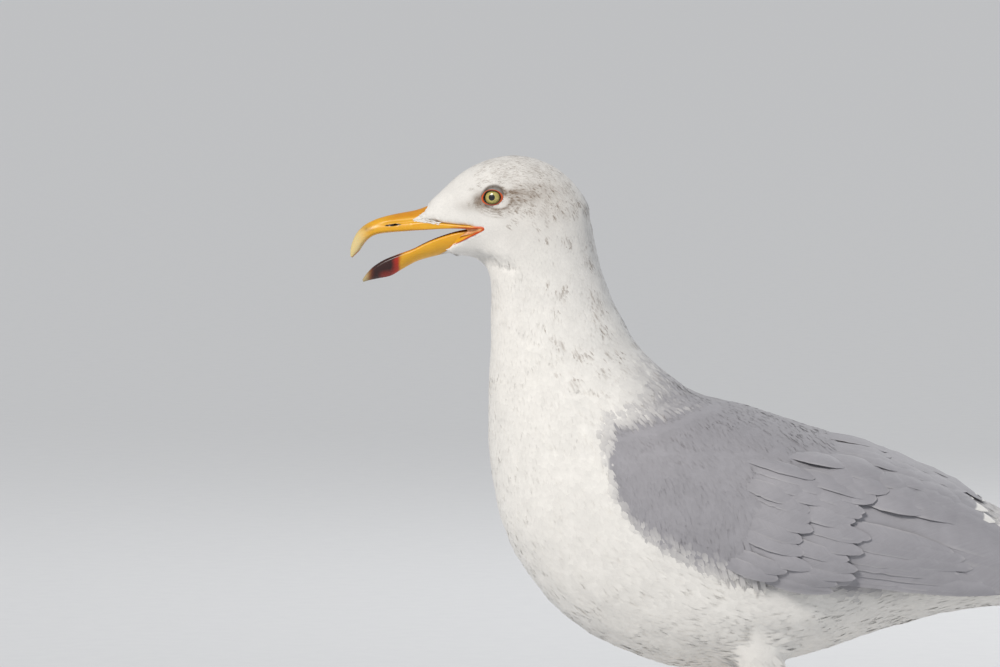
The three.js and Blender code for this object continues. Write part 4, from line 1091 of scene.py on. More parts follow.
def vane_grid(rows, columns, tip_from, edge_at, seed):
    """How far along a vane each point of a grid is, and how far out, in half widths."""
    rng = np.random.default_rng(seed)
    tip = tip_from + (1 - tip_from) * np.sin(np.linspace(0, np.pi / 2, 5))
    along = np.append(np.linspace(0, tip_from, rows - 5, endpoint=False), tip)
    if edge_at:  # two more rows, so that a white tip ends in a sharp line
        along = np.sort(np.append(along, [edge_at - WHITE_EDGE, edge_at + WHITE_EDGE]))
    share = np.clip((along - tip_from) / (1 - tip_from), 0, 1)
    wide = np.sqrt(np.maximum(0, 1 - share**2)) * 0.94 + 0.06
    wide *= 0.8 + 0.2 * ease(0, 0.5, along)
    across = np.linspace(-1, 1, columns)
    edge = 1 + 0.035 * rng.normal(0, 1, (len(along), 2)) * (along[:, None] > 0.3)
    spread = wide[:, None] * across[None, :] * np.where(across[None, :] < 0, edge[:, :1], edge[:, 1:])
    return np.broadcast_to(along[:, None], spread.shape), spread


def vanes(name, slot, nodes, feathers, rows=14, columns=9):
    """Each feather is a function from (along, across) to points, its length, half width and colour."""
    blocks, start = [], 0
    patch_side = math.ceil(math.sqrt(len(feathers)))
    for k, (place, length, half, tip_from, (colour, edge_at)) in enumerate(feathers):
        row_at, spread = vane_grid(rows, columns, tip_from, edge_at, 300 + k)
        # A white tip is a crescent.
        bow = 0.03 * np.exp(-(((row_at - edge_at) / 0.05) ** 2)) if edge_at else 0.0
        a = row_at - bow * spread**2
        dome = -0.75 * spread**2 * (half / 8) + 0.12 * np.exp(-((spread * half / 0.7) ** 2))
        top, low = place(a, spread, dome), place(a, spread, dome - 0.22 + 0.1 * spread**2)
        points = np.vstack([top.reshape(-1, 3), low.reshape(-1, 3)])
        faces = outwards(points, plate_faces(*a.shape)) + start
        start += len(points)
        shade = colour(row_at, spread, np.random.default_rng(700 + k).uniform(0, 1)).reshape(-1, 4)
        laid = np.stack([spread * half / 100, a * length / 100], -1).reshape(-1, 2)
        corner = np.array([k % patch_side, k // patch_side])
        patch = (corner + 0.5 + 0.45 * np.stack([spread, 2 * a - 1], -1).reshape(-1, 2)) / patch_side
        both = [np.concatenate([part, part]) for part in (shade, 0.35 + 0.65 * a.ravel(), laid, patch)]
        blocks.append((points, faces, *both))
    points, faces, marks, along, barbs, patches = map(np.concatenate, zip(*blocks))
    piece = write_mesh(name, points, faces, closed=False)
    give_values(piece, "marks", marks)
    give_values(piece, "along", along)
    give_map(piece, "OFBake", patches, faces.ravel())
    give_map(piece, "barbs", barbs, faces.ravel())
    settle(piece, vane_keratin, slot, *nodes)
    piece.data.set_sharp_from_angle(angle=math.radians(50))


def tint(grey, black=0.0, white_from=None):
    """A vane's pigments, with a paler fringe, and where along it a white tip starts, if it has one."""
    def colour(a, spread, chance):
        light = 0.0 if white_from is None else ease(white_from - WHITE_EDGE, white_from + WHITE_EDGE, a)
        shade = np.zeros(a.shape + (4,))
        fringe = 0.12 * ease(0.8, 1.0, np.maximum(np.abs(spread), ease(0.9, 1.0, a)))
        shade[..., 0], shade[..., 2] = (grey - fringe * grey) * (1 - light), black * (1 - light)
        shade[..., 3] = chance
        return shade

    return colour, white_from


# %% [markdown]
# ## Grey vanes of the folded wings
# Rows run from the wrist backwards: median coverts, greater coverts, the secondaries' tips, the long
# tertials that roof the folded wing, and above them the scapulars. Tertials and secondaries end in
# the white crescents of a large gull. The rows are given by their distance from the wrist, the turns
# they span, and the feathers' number, length and half width.

# %% Wing and back vanes
COVERTS = [
    # s, from, to, count, length, half, fall, tip, lag, white from
    (150, -18, 2, 9, 88, 5.4, -1, 0.3, 3, None),
    (178, 2, 56, 7, 102, 9.0, 0, 0.6, 9, 0.93),
    (84, -20, 28, 14, 40, 5.0, 3, 0.45, 0, None),
    (104, -21, 26, 15, 50, 4.8, 3, 0.5, 0, None),
    (107, 25, 42, 4, 40, 7.6, 0, 0.0, 0, None),
    (122, 26, 80, 8, 42, 8.0, 0, 0.65, 0, None),
    (138, 28, 82, 8, 45, 8.4, 0, 0.68, 0, None),
    (155, 31, 84, 8, 48, 8.8, 0, 0.7, 0, None),
    (172, 36, 86, 7, 50, 9.0, 0, 0.75, 0, 0.97),
]


BACK_ROWS = [
    # s, half width, length, millimetres beside the middle of the back
    (118, 9.5, 42, (-16, -5, 5, 16)),
    (131, 10, 42, (-9, 0, 9)),
    (146, 9, 42, (-10, 0, 10)),
]
ROOT_DEPTH = 4.5  # of a vane's root under the wing form
ROUND_FROM = 0.52  # how far along a vane its rounded end starts
DIP_S, DIP_TURN = np.arange(60, 283, 6.0), np.arange(-24, 92, 3.0)
USUAL_DEPTH = 3.4  # of the skin under the wing form


def skin_below():
    """How far the skin dips below its usual place under the wing form, on a grid of places."""
    s, turn = np.meshgrid(DIP_S, DIP_TURN, indexing="ij")
    start, down = placed(on_form(s, turn, np.full(s.shape, ABOVE))), -form_facing(s, turn)
    dip = np.zeros(s.shape)
    for i in np.ndindex(s.shape):
        reach = skin_tree.ray_cast(Vector(start[i]), Vector(down[i]), SEARCH)[3]
        dip[i] = 0 if reach is None else np.clip(ABOVE - 1000 * reach + USUAL_DEPTH, -6, 0)
    for axis in (0, 1, 0, 1):
        k = np.arange(dip.shape[axis])
        before, after = dip.take(np.maximum(k - 1, 0), axis), dip.take(np.minimum(k + 1, k[-1]), axis)
        dip = (before + 2 * dip + after) / 4
    return dip


DIP = skin_below()
print("deepest dip of the skin under the vanes:", round(float(DIP.min()), 1), "mm")


def dip_at(s, turn):
    u = np.clip((s - DIP_S[0]) / 6, 0, DIP.shape[0] - 1.001)
    v = np.clip((90 - np.abs(turn - 90) - DIP_TURN[0]) / 3, 0, DIP.shape[1] - 1.001)
    i, j = u.astype(int), v.astype(int)
    a, b = u - i, v - j
    near_row = DIP[i, j] * (1 - b) + DIP[i, j + 1] * b
    return near_row * (1 - a) + (DIP[i + 1, j] * (1 - b) + DIP[i + 1, j + 1] * b) * a


def form_feather(side, s, turn, length, half, fall, tip, colour, drop=0.8, lean=0.3):
    def place(a, spread, dome):
        along = a * length
        at = s + along * math.cos(math.radians(fall))
        middle = turn - along * math.sin(math.radians(fall)) / per_degree(at, turn)
        rise = -ROOT_DEPTH + (tip + ROOT_DEPTH) * np.minimum(1, a / 0.62) - drop * ease(0.66, 1.0, a)
        turns = middle + spread * half / per_degree(at, middle)
        return on_form(at, turns, rise + dome - lean * spread + dip_at(at, turns)) * [1, side, 1]

    return place, length, half, ROUND_FROM, colour


def wing_vanes(side):
    rng = np.random.default_rng(40)
    made = []
    for s, start, end, count, length, half, fall, tip, lag, white_from in COVERTS:
        stray = 7 if white_from is None else 1.5
        drop = 2.6 if s == COVERTS[-1][0] else 0.8  # the last row lies down on the rump
        for k in range(count):
            turn = start + (end - start) * (k + rng.uniform(-0.2, 0.2)) / (count - 1)
            at = s + rng.uniform(-stray, stray) - lag * k
            shape = (length * rng.uniform(0.9, 1.1), half, fall, tip, tint(1.0, 0, white_from))
            lean = 1.5 if k == count - 1 and s < 110 else 0.3  # an edge that no vane covers lies down
            made.append(form_feather(side, at, turn, *shape, drop=drop, lean=lean))
    return made


for label, side in SIDES:
    vanes("wing_vanes_" + label, "grey_plumage", ["wing_" + label], wing_vanes(side))

back = []
for s, half, length, beside in BACK_ROWS:
    for mm in beside:
        turn = 90 + mm / float(per_degree(s, 90.0))
        back.append(form_feather(1, s, turn, length, half, 0, 0.2, tint(1.0)))
vanes("back_vanes", "grey_plumage", ["mantle"], back)

# %% [markdown]
# ## Primaries and tail
# The long quills lie in a slanting stack, the innermost on top and each next one deeper and longer.
# They are black with a white tip. The tail is twelve white feathers, the middle pair on top.

# %% Primaries
blade_middle = through([
    [240, -3.5, 30], [255, -3.5, 30], [300, -6, 22.5], [360, -5.5, 16.5], [432, -4, 10.5],
])  # fmt: skip
blade_slope = through([[240, 38], [255, 38], [320, 44], [432, 56]])
QUILL_ROOT, QUILL_HALF = 222, 11.5
TIP_STEPS = [318, 340, 363, 386, 409, 431]


def quill(side, k):
    length, shift = TIP_STEPS[k] - QUILL_ROOT, 0.7 * (5 - k) - 1.2
    white = 9.0 if k < 5 else 6.0  # millimetres of white at the tip

    def place(a, spread, dome):
        s = QUILL_ROOT + a * length
        height, out_at = np.moveaxis(blade_middle(s), -1, 0)
        slope = np.radians(blade_slope(s))
        wide = spread * QUILL_HALF * (1 - 0.2 * a) * (1 - 0.4 * ease(242, 224, s))
        across = shift * np.minimum(1, 2 * a) + wide
        out = -1.25 * k + 0.5 * dome - 9.0 * ease(243, 224, s)
        t = height + across * np.sin(slope) + out * np.cos(slope)
        y = out_at - across * np.cos(slope) + out * np.sin(slope)
        x, z = along_wing(s, t)
        return np.stack([x, -y * side, z], -1)

    return place, length, QUILL_HALF, 0.8, tint(0.0, 1.0, 1 - white / length)


for label, side in SIDES:
    quills = [quill(side, k) for k in range(len(TIP_STEPS))]
    vanes("quills_" + label, "flight_plumage", ["primaries_" + label], quills, rows=22)

# %% Tail
TAIL_ROOT, TAIL_TIP, TAIL_HALF = 322, 415, 8.3
TAIL_RISE, TAIL_END = (326, 151.5), 130  # where the fan starts, in X and Z, and its tip's Z


def tail_feather(side, k):
    def place(a, spread, dome):
        x = TAIL_ROOT + a * (TAIL_TIP - 0.9 * k - TAIL_ROOT)
        share = (x - TAIL_RISE[0]) / (TAIL_TIP - TAIL_RISE[0])
        z = TAIL_RISE[1] + share * (TAIL_END - TAIL_RISE[1]) - 1.1 * k
        across = spread * TAIL_HALF
        y = 1.8 + 2.3 * k + share * (3.4 + 3.0 * k) + across
        return np.stack([x, -side * y, z - across * 0.105 + 0.6 * dome], -1)

    return place, 92, TAIL_HALF, 0.9, tint(0.0)


tail = [tail_feather(side, k) for k in range(6) for side in (1, -1)]
vanes("tail_vanes", "plumage", ["tail"], tail, rows=16)

# %% [markdown]
# ## The bill
# A gull's bill is bone in a sheath of horn. The upper half ends in a hook, the lower half swells
# under its tip. Both are lofted from the table, fused and smoothed, with a slit of a nostril on each
# side. The horn is deep yellow, almost white at the hook, and red turning black on the swelling.

# %% Bill tables
UPPER_BILL = [
    [-25.0, 371.5, -25.0, 354.6, 8.2, 0.15, 1.7, 3], [-36.3, 366.6, -36.0, 353.2, 8.9, 0.15, 1.7, 3],
    [-43.2, 364.3, -44.0, 352.5, 8.2, 0.16, 1.75, 3], [-50.8, 362.9, -52.0, 351.9, 7.4, 0.18, 1.8, 3],
    [-58.5, 361.3, -60.0, 351.2, 6.7, 0.22, 1.9, 2.8], [-66.2, 358.9, -66.0, 350.0, 6.0, 0.28, 2, 2.5],
    [-72.7, 355.4, -70.0, 347.6, 5.0, 0.33, 2, 2.2], [-76.9, 351.1, -72.8, 344.3, 3.9, 0.38, 2, 2],
    [-79.3, 346.2, -75.0, 341.0, 2.8, 0.42, 2, 2], [-80.5, 341.6, -77.2, 338.8, 1.7, 0.45, 2, 2],
    [-80.6, 337.6, -79.4, 336.6, 0.7, 0.5, 2, 2],
]  # fmt: skip
PALATE = [
    [-3.6, 355.1, -3.6, 353.6, 18.0, 0.5, 8, 8], [-8.0, 355.7, -8.0, 353.8, 19.2, 0.5, 8, 8],
    [-14.0, 356.2, -14.0, 354.0, 17.5, 0.5, 8, 8], [-20.0, 356.7, -20.0, 354.1, 15.6, 0.5, 8, 8],
    [-28.0, 357.4, -28.0, 353.8, 12.9, 0.5, 8, 8], [-36.0, 358.2, -36.0, 353.2, 10.2, 0.5, 8, 8],
    [-42.5, 358.0, -42.5, 352.8, 8.5, 0.5, 6, 6], [-50.0, 357.0, -50.0, 352.6, 6.6, 0.5, 4, 4],
]  # fmt: skip
LOWER_BILL = [
    [-4.6, 353.1, -4.6, 347.6, 15.6, 0.9, 3, 2.6], [-12.0, 353.3, -11.0, 343.2, 14.2, 0.9, 3, 2.4],
    [-20.5, 351.7, -18.0, 340.7, 12.3, 0.88, 3, 2.2], [-29.4, 348.9, -25.5, 339.0, 10.2, 0.86, 3, 2.0],
    [-37.0, 345.7, -33.5, 337.2, 8.6, 0.84, 3, 1.9], [-44.5, 341.9, -41.8, 334.7, 7.4, 0.82, 3, 1.8],
    [-53.0, 338.9, -50.0, 330.3, 6.4, 0.8, 3, 1.6], [-60.5, 335.9, -57.0, 326.2, 5.4, 0.78, 3, 1.5],
    [-67.0, 331.7, -64.5, 324.6, 3.9, 0.76, 2.4, 1.6], [-71.3, 327.3, -69.8, 323.5, 2.2, 0.7, 2.2, 1.8],
    [-73.6, 323.9, -73.2, 322.5, 0.8, 0.5, 2, 2],
]  # fmt: skip


NOSTRIL = (-55.7, 356)  # X and Z
BILL_VOXEL = 0.00042


def cut_from(piece, tool):
    add_modifier(piece, "cut", "BOOLEAN", operation="DIFFERENCE", object=tool, solver="EXACT")
    apply_modifiers(piece)
    bpy.data.objects.remove(tool)


def smooth_fused(pieces, name, voxel, passes):
    body = fused(pieces, name, voxel)
    add_modifier(body, "soften", "SMOOTH", factor=0.5, iterations=passes)
    apply_modifiers(body)
    return body


horn = write_mesh("horn", *loft(UPPER_BILL))
for side in (1, -1):
    place = placed([NOSTRIL[0], 7.4 * side, NOSTRIL[1]])
    bpy.ops.mesh.primitive_uv_sphere_add(segments=24, ring_count=12, radius=0.0005, location=place)
    slit = bpy.context.object
    slit.scale = (8.4, 10.4, 0.95)
    slit.rotation_euler = (0, math.radians(-5), 0)
    cut_from(horn, slit)
upper = smooth_fused([horn, write_mesh("palate", *loft(PALATE))], "bill_upper_horn", BILL_VOXEL, 4)

# The trough that the tongue lies in is a smaller copy of the lower bill, open above and behind.
trough = []
for k, (top_x, top_z, low_x, low_z, half, _, above, _) in enumerate(LOWER_BILL[:9]):
    behind = 4 if k == 0 else 0
    half = max(half - 1.9, 0.8) * (0.5 if k == 8 else 1)
    trough.append([top_x + behind, top_z + 4, low_x + behind, low_z + 3.4, half, 0.6, above, 2.4])
lower = write_mesh("lower", *loft(LOWER_BILL))
cut_from(lower, write_mesh("trough", *loft(trough, 40)))
lower = smooth_fused([lower], "bill_lower_horn", BILL_VOXEL, 4)

# %% Bill colours
# Horn is laid down in layers by the skin under it. It is smooth, a little translucent and carries
# faint growth lines along the bill. "zones" holds how pale, red, black and fleshy each place is; the
# black inside the nostrils is painted shade.
def zones(piece, pale, red, black, flesh):
    give_values(piece, "zones", np.column_stack([pale, red, black, flesh]))


points, facings = read_points(upper)
x, y, z = points.T
groove_line, ridge_line = 356.6 + 0.10 * (x + 60), 358.4 + 0.12 * (x + 60)
rear, flank = ease(-36, -42, x), ease(3, 5, np.abs(y))
groove = np.exp(-(((z - groove_line) / 0.75) ** 2)) * ease(-65, -58, x) * rear * flank
ridge = np.exp(-(((z - ridge_line) / 1.1) ** 2)) * ease(-66, -58, x) * rear * flank
move_points(upper, points + facings * (0.22 * ridge - 0.4 * groove)[:, None])
hook = 0.8 * ease(-67, -79, x + 0.3 * (z - 350))
smudge = 0.6 * spot(x, z, -70.3, 353.6, 3.0, 1.8) * (0.4 + 0.6 * drift(points, 1.4, 8))
rim_low = 353.6 - (x + 4) * 0.02
edge = ease(2.0, 0.6, z - rim_low) * ease(-26, -14, x)
culmen = 0.3 * ease(-1.0, 1.5, z - ridge_line) * ease(-66, -52, x)
palate_half = np.interp(x, [-80, -50, -36, -20, -6], [1, 4.6, 7.2, 13, 17])
roof = ease(-0.35, -0.8, facings[:, 2]) * (np.abs(y) < palate_half)
# Painted shade: the inside of each nostril's slit is painted black, for the shade in the hole.
ahead, above = x - NOSTRIL[0], z - NOSTRIL[1]
slot = (ahead / 4.3) ** 2 + ((above - 0.087 * ahead) / 0.6) ** 2
inside = ease(1.5, 1.0, slot) * (np.abs(y) > 1.5)
zones(upper, hook, np.maximum(edge * 0.9, culmen), np.clip(smudge + inside, 0, 1), roof * (1 - inside))

points, facings = read_points(lower)
x, y, z = points.T
top_line = np.interp(
    x,
    [-74, -71, -67, -60.5, -53, -44.5, -37, -29, -20, -12, -4],
    [323.5, 327.3, 331.7, 335.9, 338.9, 341.9, 345.7, 348.9, 351.7, 353.3, 353.3],
)
wander = 1.6 * (drift(points, 3.0, 31) - 0.5)
red = ease(-50.5, -53.5, x + wander)
low_red = 0.6 * ease(331, 326.5, z - 0.12 * (x + 60)) * ease(-66, -60, x)
dark = ease(-53.5, -57.5, x + 0.5 * wander) * (1 - low_red)
black = dark + ease(2.4, 0.5, top_line - z) * ease(-48, -53, x + wander)
tip = ease(-66, -72, x)
walls = np.interp(x, [-74, -67, -53, -37, -20, -4], [0.4, 2.0, 4.6, 6.6, 10.3, 13.6])
inner = ease(0.15, -0.3, np.abs(y) - walls) * ease(-0.2, 0.3, facings[:, 2] + 0.6 * (np.abs(y) < walls))
inner = inner * (z > top_line - 9) * ease(-62, -56, x) * (facings[:, 2] > -0.3)
zones(lower, tip * 0.9, red * (1 - 0.9 * tip), np.clip(black, 0, 0.95) * (1 - 0.62 * tip), inner)

m = new_material("bill horn")
zone = node(m, "Attribute", attribute_name="zones", attribute_type="GEOMETRY")
share = node(m, "SeparateColor", {"Color": zone.outputs["Color"]})
place = node(m, "TexCoord").outputs["Object"]
lines = node(m, "Mapping", {"Vector": place, "Scale": (60.0, 900.0, 900.0)})
growth = node(m, "TexNoise", {"Vector": lines.outputs[0], "Scale": 1.0, "Detail": 4.0})
cloud = node(m, "TexNoise", {"Vector": place, "Scale": 160.0, "Detail": 3.0})
colour = node(m, "Mix", {0: cloud.outputs["Fac"], 6: paint("#e8a313"), 7: paint("#f2b829")}, data_type="RGBA")
amounts = (*share.outputs, zone.outputs["Alpha"])
for amount, tone in zip(amounts, ("#e3d6a2", "#b8260d", "#1c0f0e", "#c4622c")):
    colour = node(m, "Mix", {0: amount, 6: colour.outputs[2], 7: paint(tone)}, data_type="RGBA")
worn = node(m, "MapRange", {"Value": growth.outputs["Fac"], "To Min": 0.9, "To Max": 1.06})
colour = node(m, "VectorMath", {0: colour.outputs[2], "Scale": worn.outputs[0]}, operation="SCALE")
gloss = node(m, "MapRange", {"Value": cloud.outputs["Fac"], "To Min": 0.3, "To Max": 0.46})
bump = node(m, "Bump", {"Height": growth.outputs["Fac"], "Strength": 0.25, "Distance": 0.00015})
bill_horn = finish_material(m, {
    "Base Color": colour.outputs[0], "Roughness": gloss.outputs[0], "Normal": bump.outputs[0],
    "Coat Weight": 0.15, "Coat Roughness": 0.25, "Subsurface Weight": 0.06, "Subsurface Scale": 0.002,
})  # fmt: skip
settle(upper, bill_horn, "bill_horn", "bill_upper")
settle(lower, bill_horn, "bill_horn", "bill_lower")

# %% [markdown]
# Short feathers run out over the horn in two points on each side, one towards the nostril and one
# under the lower jaw. Their roots lie on the horn itself, so they are planted now that it is there.

# %% Feathers on the edge of the horn
def horn_roots(piece, chosen):
    points, facings = read_points(piece)
    keep = chosen(points) & (np.abs(facings[:, 1]) > 0.25)
    return points[keep], unit(facings[keep])


def upper_point(points):
    x, _, z = points.T
    share = (x + 44.5) / 14
    top = 359.3 + 9.5 * np.clip(share, 0, 1) ** 1.1
    return (share > 0) & (x < -30) & (z > 358.0 - 1.3 * share) & (z < top)


def lower_point(points):
    x, _, z = points.T
    share = (x + 31.0) / 8
    top = np.minimum(339.6 + 4.6 * np.clip(share, 0, 1), 352.4 + (x + 3.6) * 0.53)
    return (share > 0) & (x < -20) & (z < top)


BRISTLES = 1500
rng = np.random.default_rng(21)
found = [horn_roots(upper, upper_point), horn_roots(lower, lower_point)]
roots, facing = (np.vstack(part) for part in zip(*found))
picks = rng.permutation(len(roots))[:BRISTLES]
roots, facing = roots[picks], facing[picks]
way = turned(along_skin(np.array([[1.0, 0, 0]]), facing), facing, rng.normal(0, 0.16, len(roots)))
lift = rng.uniform(3, 8, len(roots)) + 9 * ease(3.5, 1.5, distance_to(skin_tree, roots))
length = rng.uniform(2.2, 3.6, len(roots))
plant("coat_bristles", "plumage", roots, way, facing, lift, length, length * 0.16, fans(3, 0.5, 22), 23)

# %% [markdown]
# ## Inside the mouth
# The tongue is a long soft spear with a groove. At the corner of the mouth bare skin stretches
# between the jaws, cream to orange, and its rim is orange-red like the ring of the eye.

# %% Bare skin and the tongue
def flesh_material(name, light, deep, wet):
    """Bare skin: blood under a thin surface, so light goes in and comes out softer and redder."""
    m = new_material(name)
    place = node(m, "TexCoord").outputs["Object"]
    mottle = node(m, "TexNoise", {"Vector": place, "Scale": 320.0, "Detail": 4.0})
    tone = node(m, "MapRange", {"Value": mottle.outputs["Fac"], "From Min": 0.35, "From Max": 0.65})
    colour = node(m, "Mix", {0: tone.outputs[0], 6: paint(light), 7: paint(deep)}, data_type="RGBA")
    pores = node(m, "TexVoronoi", {"Vector": place, "Scale": 1920.0})
    bump = node(m, "Bump", {"Height": pores.outputs["Distance"], "Strength": 0.3, "Distance": 0.0001})
    return finish_material(m, {
        "Base Color": colour.outputs[2], "Roughness": wet, "Subsurface Weight": 0.15,
        "Subsurface Scale": 0.0015, "Normal": bump.outputs[0],
    })  # fmt: skip


tongue = write_mesh("tongue_flesh", *limb([
    [-6, 0, 350.0, 5.4, 1.2], [-9, 0, 349.2, 5.4, 1.3], [-20, 0, 346.2, 5.0, 1.4], [-32, 0, 343.0, 4.2, 1.4],
    [-43, 0, 339.8, 3.4, 1.2], [-52, 0, 336.3, 2.4, 1.0], [-58, 0, 333.3, 0.8, 0.5],
], 24, 8))  # fmt: skip
points, facings = read_points(tongue)
dent = np.exp(-((points[:, 1] / 0.9) ** 2)) * (facings[:, 2] > 0) * ease(-57, -48, points[:, 0])
points[:, 2] -= 0.7 * dent
move_points(tongue, points)
settle(tongue, flesh_material("tongue flesh", "#d0704a", "#b4553a", 0.3), "mouth", "tongue")

# %% The corners of the mouth
corner_skin = flesh_material("skin at the corner of the mouth", "#e9b27c", "#d98a4e", 0.3)
corner_rim = flesh_material("orange rim of the mouth", "#e2661c", "#d2500f", 0.34)
upper_half = through([[-24, 13.9], [-20, 15.2], [-14, 17.1], [-10, 18.4], [-6, 19.5], [-3.2, 20.1]])
lower_half = through([
    [-27, 10.7], [-22, 13.1], [-18, 14.7], [-14, 16.3], [-10, 17.7], [-6, 19.3], [-3.2, 20.1],
])  # fmt: skip
CORNER_X = -3.6
# Each half of the rim: X and thickness, from the front back to the corner, and out to the front again.
UPPER_LIP = ((-26, 0.06), (-21, 0.14), (-16, 0.26), (-11, 0.42), (-7, 0.6), (-4.6, 0.74))
LOWER_LIP = ((-4.6, 0.7), (-7, 0.56), (-11, 0.42), (-15, 0.3), (-19, 0.18), (-23, 0.08))


def lower_rim(x):
    return 353.7 + (np.asarray(x) - CORNER_X) * 0.53


def upper_rim(x):
    return 354.7 - (np.asarray(x) - CORNER_X) * 0.06


def band(x):
    """How high the yellow edge of the lower bill stands above the lower rim."""
    return np.interp(x, [-28, -22, -16, -10, -4], [3.3, 3.4, 2.9, 1.2, 0.2])


def mouth_web(label, side):
    """The bare skin between the jaws, hollow and a little creased."""
    u, v = grid(16, 11)
    x = -3.4 - u * (14.0 - 5.0 * np.sin(np.pi * v))
    z = upper_rim(x) * (1 - v) + (lower_rim(x) + band(x) - 0.3) * v
    y = upper_half(np.clip(x, -24, -3.2)) * (1 - v) + lower_half(np.clip(x, -27, -3.2)) * v
    y = y + 0.35 - 0.9 * ease(0.1, 0.5, u) - 1.5 * np.sin(np.pi * v) * ease(0.15, 0.7, u)
    y = y + 0.1 * np.sin(22 * v + 5 * u)
    top, low = np.stack([x, side * y, z], -1), np.stack([x, side * (y - 0.7), z], -1)
    settle(write_plate("mouth_corner_" + label, top, low), corner_skin, "mouth")


def mouth_ledge(label, side):
    """The yellow edge of the lower bill, which runs back inside the rim."""
    u, v = grid(22, 7)
    x = -4.2 - 23.5 * u
    outer_y, outer_z = lower_half(np.clip(x, -27, -3.2)) - 0.3, lower_rim(x) + 0.1
    inner_y = np.interp(x, [-29.4, -20.5, -12, -4.6], [9.6, 11.7, 15.2, 18.6])
    y, z = outer_y * (1 - v) + inner_y * v, outer_z * (1 - v) + (lower_rim(x) + band(x)) * v
    y = y + 0.35 * np.sin(np.pi * v) - 6.0 * ease(-15, -27, x)
    top, low = np.stack([x, side * y, z], -1), np.stack([x, side * (y - 1.4), z - 0.9], -1)
    ledge = write_plate("mouth_ledge_" + label, top, low)
    red, flesh = np.tile(0.4 * ease(-18, -7, x).ravel(), 2), np.tile(0.25 * ease(-16, -8, x).ravel(), 2)
    zones(ledge, 0 * red, red, 0 * red, flesh)
    settle(ledge, bill_horn, "bill_horn")


def mouth_lip(label, side):
    """The orange rim, a thin roll that runs from one jaw round the corner to the other."""
    path = []
    for x, thick in UPPER_LIP:
        y = float(upper_half(max(x, -24.0))) - 0.1 - 1.4 * float(ease(-15, -23, x))
        path.append([x, side * y, float(upper_rim(x)) + 0.1, 0.75 * thick, thick])
    path.append([-3.2, side * 20.0, 354.2, 0.72, 0.9])
    for x, thick in LOWER_LIP:
        y = float(lower_half(x)) - 0.15 - 3.0 * float(ease(-15, -25, x))
        path.append([x, side * y, float(lower_rim(x)) - 0.1, 0.75 * thick, thick])
    settle(write_mesh("mouth_rim_" + label, *limb(path, 10, 5)), corner_rim, "mouth")


for label, side in SIDES:
    mouth_web(label, -side)
    mouth_ledge(label, -side)
    mouth_lip(label, -side)

# %% [markdown]
# ## Eyes and lids
# The eye is a ball with a clear, wet cornea. Its iris is pale yellow with dark flecks, the pupil is
# round and black, and the edge of the iris is dark. The bare lid is an orange-red ring, drawn out
# to a corner in front, with a dark margin where it meets the ball.

# %% Eyes
GAZE = unit(np.array([-0.24, -1, 0.05]))
EYE_RADIUS = 6.3
m = new_material("gull eye")
iris = node(m, "Attribute", attribute_name="iris", attribute_type="GEOMETRY")
seen = node(m, "SeparateColor", {"Color": iris.outputs["Color"]})
ray = node(m, "Mix", {0: seen.outputs[1], 6: paint("#a99c4c"), 7: paint("#cfc47a")}, data_type="RGBA")
# The ramp runs over degrees from the gaze: black pupil, light iris, dark edge.
ring = node(m, "ValToRGB", {"Fac": seen.outputs[0]})
stops = ring.color_ramp.elements
stops[0].position, stops[0].color = 16.2 / 90, (0, 0, 0, 1)
stops[1].position, stops[1].color = 17.4 / 90, (1, 1, 1, 1)
stops.new(40 / 90).color = (1, 1, 1, 1)
stops.new(43.5 / 90).color = (0, 0, 0, 1)
fleck = node(m, "Math", {0: 1.0, 1: seen.outputs[2]}, operation="SUBTRACT")
light = node(m, "Math", {0: ring.outputs[0], 1: fleck.outputs[0]}, operation="MULTIPLY")
colour = node(m, "Mix", {0: light.outputs[0], 6: paint("#0c0a09"), 7: ray.outputs[2]}, data_type="RGBA")
eye_material = finish_material(m, {
    "Base Color": colour.outputs[2], "Roughness": 0.35, "Coat Weight": 1.0, "Coat Roughness": 0.02,
    "Coat IOR": 1.38,
})  # fmt: skip
for label, side in SIDES:
    centre, gaze = EYE * [1, side, 1], GAZE * [1, side, 1]
    bpy.ops.mesh.primitive_ico_sphere_add(subdivisions=6, radius=EYE_RADIUS / 1000, location=(0, 0, 0))
    ball = bpy.context.object
    ball.name = ball.data.name = "eyeball_" + label
    away = unit(read_rows(ball.data.vertices, "co", 3).astype(float))
    angle = np.degrees(np.arccos(np.clip(away @ gaze, -1, 1)))
    bulge = 1 + 0.035 * ease(46, 20, angle)
    move_points(ball, centre + away * EYE_RADIUS * bulge[:, None])
    side_way = unit(np.cross(gaze, [0, 0, 1]))
    up_way = np.cross(side_way, gaze)
    round_it = np.arctan2(away @ up_way, away @ side_way)
    rays = drift(np.column_stack([round_it * 22, angle / 11, np.zeros(len(angle))]), 1.0, 61)
    flecks = ease(0.72, 0.86, drift(away * 34, 1.0, 62))
    flecks = flecks * ease(-0.2, -0.7, np.sin(round_it)) * ease(17, 22, angle)
    give_values(ball, "iris", np.column_stack([angle / 90, rays, flecks, np.ones(len(angle))]))
    settle(ball, eye_material, "eye", "eye_" + label)

